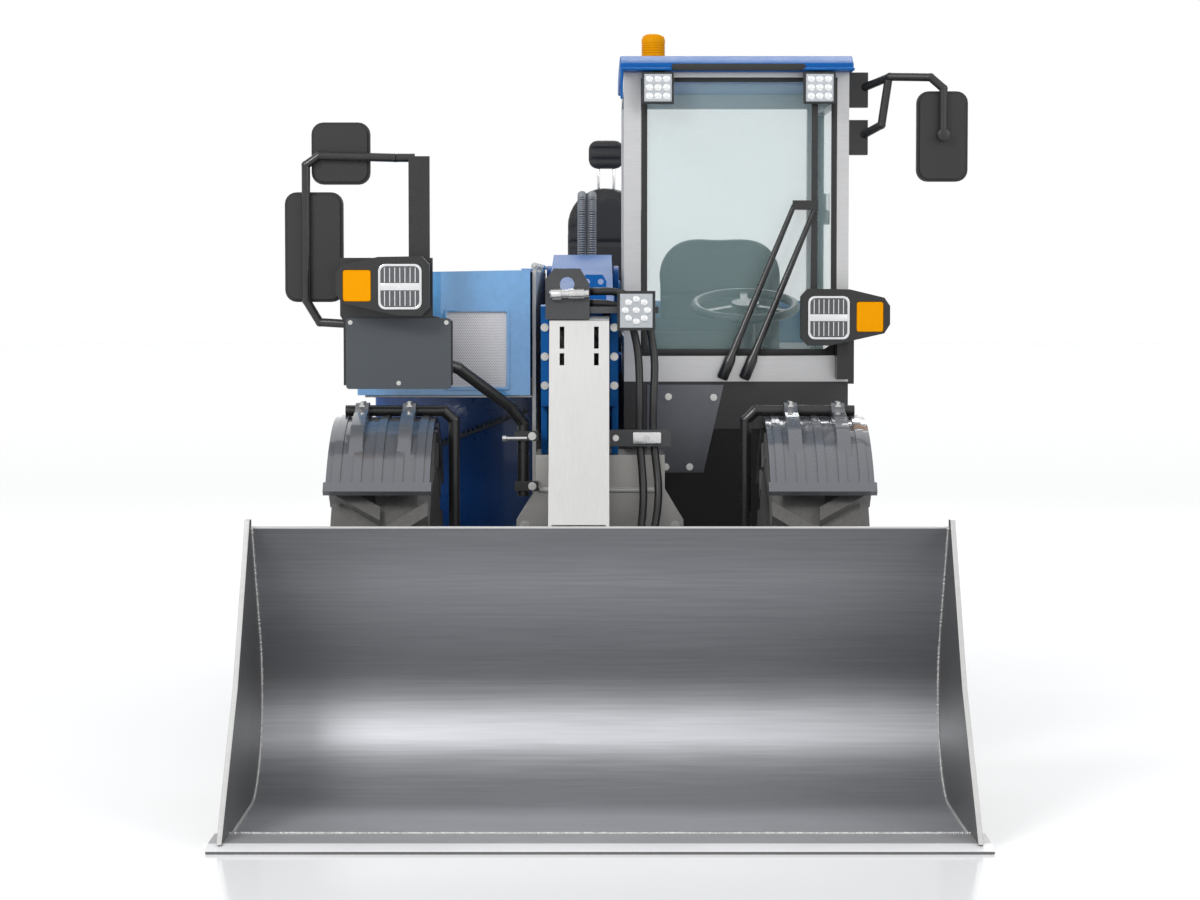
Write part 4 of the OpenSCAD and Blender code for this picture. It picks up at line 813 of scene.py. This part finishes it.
# Controls and wipers: steering wheel on its column with a console beside it, in grained black plastic,
# and two painted wiper arms that hold one upright blade.
edged(black_plastic, 0.003, "steering_wheel")
edged(black_paint, 0.002, "wiper")
wiper_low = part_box("wiper")[0]
arm_steps = ((-0.06, 15), (-0.05, 18), (0.06, 18), (0.09, 13), (0.80, 9), (1.0, 8))
for x in (400, 470):
    arm = [at(x + 215 * t, 0, 0) for t, _ in arm_steps]
    for p, (t, _) in zip(arm, arm_steps):
        p.y, p.z = wiper_low.y + 0.010, wiper_low.z + 0.016 + 0.52 * t
    fix(tube(f"wiper_arm_{x}", arm, [r / 1000 for _, r in arm_steps], black_paint), "chassis")

# Roof lamps and beacon: square work lamps with nine reflectors under the visors, and an amber
# beacon with a ringed lens on a black foot.
amber = finish("amber_lens", (0.98, 0.37, 0.0), 0.35, spread=0.04, grain=(60, 2, 2), shine=0.06)
edged(black_plastic, 0.008, "roof_lamps")
edged(clear_lens, 0.004, "roof_lamp_lenses")
cups("roof_lamp_cups", 0.0125, "chassis",
    [at(x + 50 + 27 * i, 1960, 2056 + 27 * k) for x in (132, 640) for i in (-1, 0, 1) for k in (-1, 0, 1)])
rings = [(2206, 30), (2207, 40)]
for z in range(2214, 2252, 8):
    rings += [(z, 40), (z + 1, 38.5), (z + 4, 38.5), (z + 5, 40)]
rings += [(2262, 40), (2274, 36), (2281, 26), (2284, 12)]
lens = tube("beacon_lens", [at(180, 2700, z) for z, _ in rings], [r / 1000 for _, r in rings], amber,
    sides=32)
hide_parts("beacon")
fix(lens, "chassis")
fix(tube("beacon_foot", [at(180, 2700, z) for z in (2176.2, 2177, 2190, 2205, 2207)],
    [0.044, 0.046, 0.046, 0.043, 0.040], black_plastic, sides=32), "chassis")

# Right front: a bent black tube on two clamps carries the plate holder, a headlamp and two mirrors.
# The left mirror hangs on the cab's front post.
mirror_silver = finish("mirror_silver", (0.86, 0.87, 0.88), 0.03, metal=1.0, spread=0.01, bump=0.0)
edged(black_paint, 0.002, "carrier")
edged(dark_plastic, 0.0015, "plate_holder")
edged(black_plastic, 0.009, "mirrors")
dress(mirror_silver, "mirror_glass")
fix(tube("mirror_joint", [at(1072, y, 1905) for y in (1880, 1882, 1914, 1916)],
    [0.014, 0.019, 0.019, 0.012], black_plastic), "chassis")
bolts("holder_screws", 0.005, 0.004, "chassis",
    [(at(x, 1548, z), FRONT) for x, z in ((-753.5, 1325), (-463.5, 1325), (-608, 1142))])
bolts("carrier_bolts", 0.009, 0.010, "chassis", [(at(-208, 1682, z), FRONT) for z in (821, 975)])
fix(tube("carrier_stud", [at(x, 1678, 968) for x in (-300, -299, -287, -286, -224, -223)],
    [0.006, 0.010, 0.010, 0.006, 0.006, 0.004], fitting_zinc), "chassis")

# Headlamps: black moulded housings with an amber indicator on the outer side and a clear
# lamp behind a bright bezel, split by a bar, over ribbed reflectors.
reflector = finish("reflector", (0.11, 0.11, 0.12), 0.16, metal=0.8, grain=(60, 4, 16), spread=0.42, coat=0.5)
bezel_silver = finish("bezel_silver", (0.80, 0.81, 0.82), 0.2, metal=0.5, spread=0.05)
edged(black_plastic, 0.007, "headlamps")
edged(reflector, 0.003, "headlamp_lenses")
edged(amber, 0.003, "indicators")
given, node, link, close = new_tree("reflector_ribs", "Ribs", ("Feet", "Geometry"), ("Size", "Vector"))
bar = node("GeometryNodeMeshCube")
link(given.outputs["Size"], bar.inputs["Size"])
rib_tree = close(given.outputs["Feet"], bar.outputs["Mesh"])
for side, x0, y0, z0 in (("right", -664, 1466, 1346), ("left", 651, 1900, 1248)):
    fix(front_plate("bezel_" + side, soft_rect(x0 + 1, x0 + 131, z0 + 19, z0 + 155, 21), y0 - 1, y0 + 5, 1,
        bezel_silver, hole=soft_rect(x0 + 8, x0 + 124, z0 + 26, z0 + 148, 17)), "chassis")
    fix(front_plate("lamp_bar_" + side, soft_rect(x0 + 6, x0 + 126, z0 + 76, z0 + 98, 4), y0, y0 + 5, 1,
        bezel_silver), "chassis")
    ribs = [at(x0 + 20 + 15.3 * k, y0 + 4, z) for z in (z0 + 52, z0 + 122) for k in range(7)]
    fix(run_tree("lamp_ribs_" + side, rib_tree, ribs, [], Size=(0.0026, 0.004, 0.044), Finish=bezel_silver),
        "chassis")
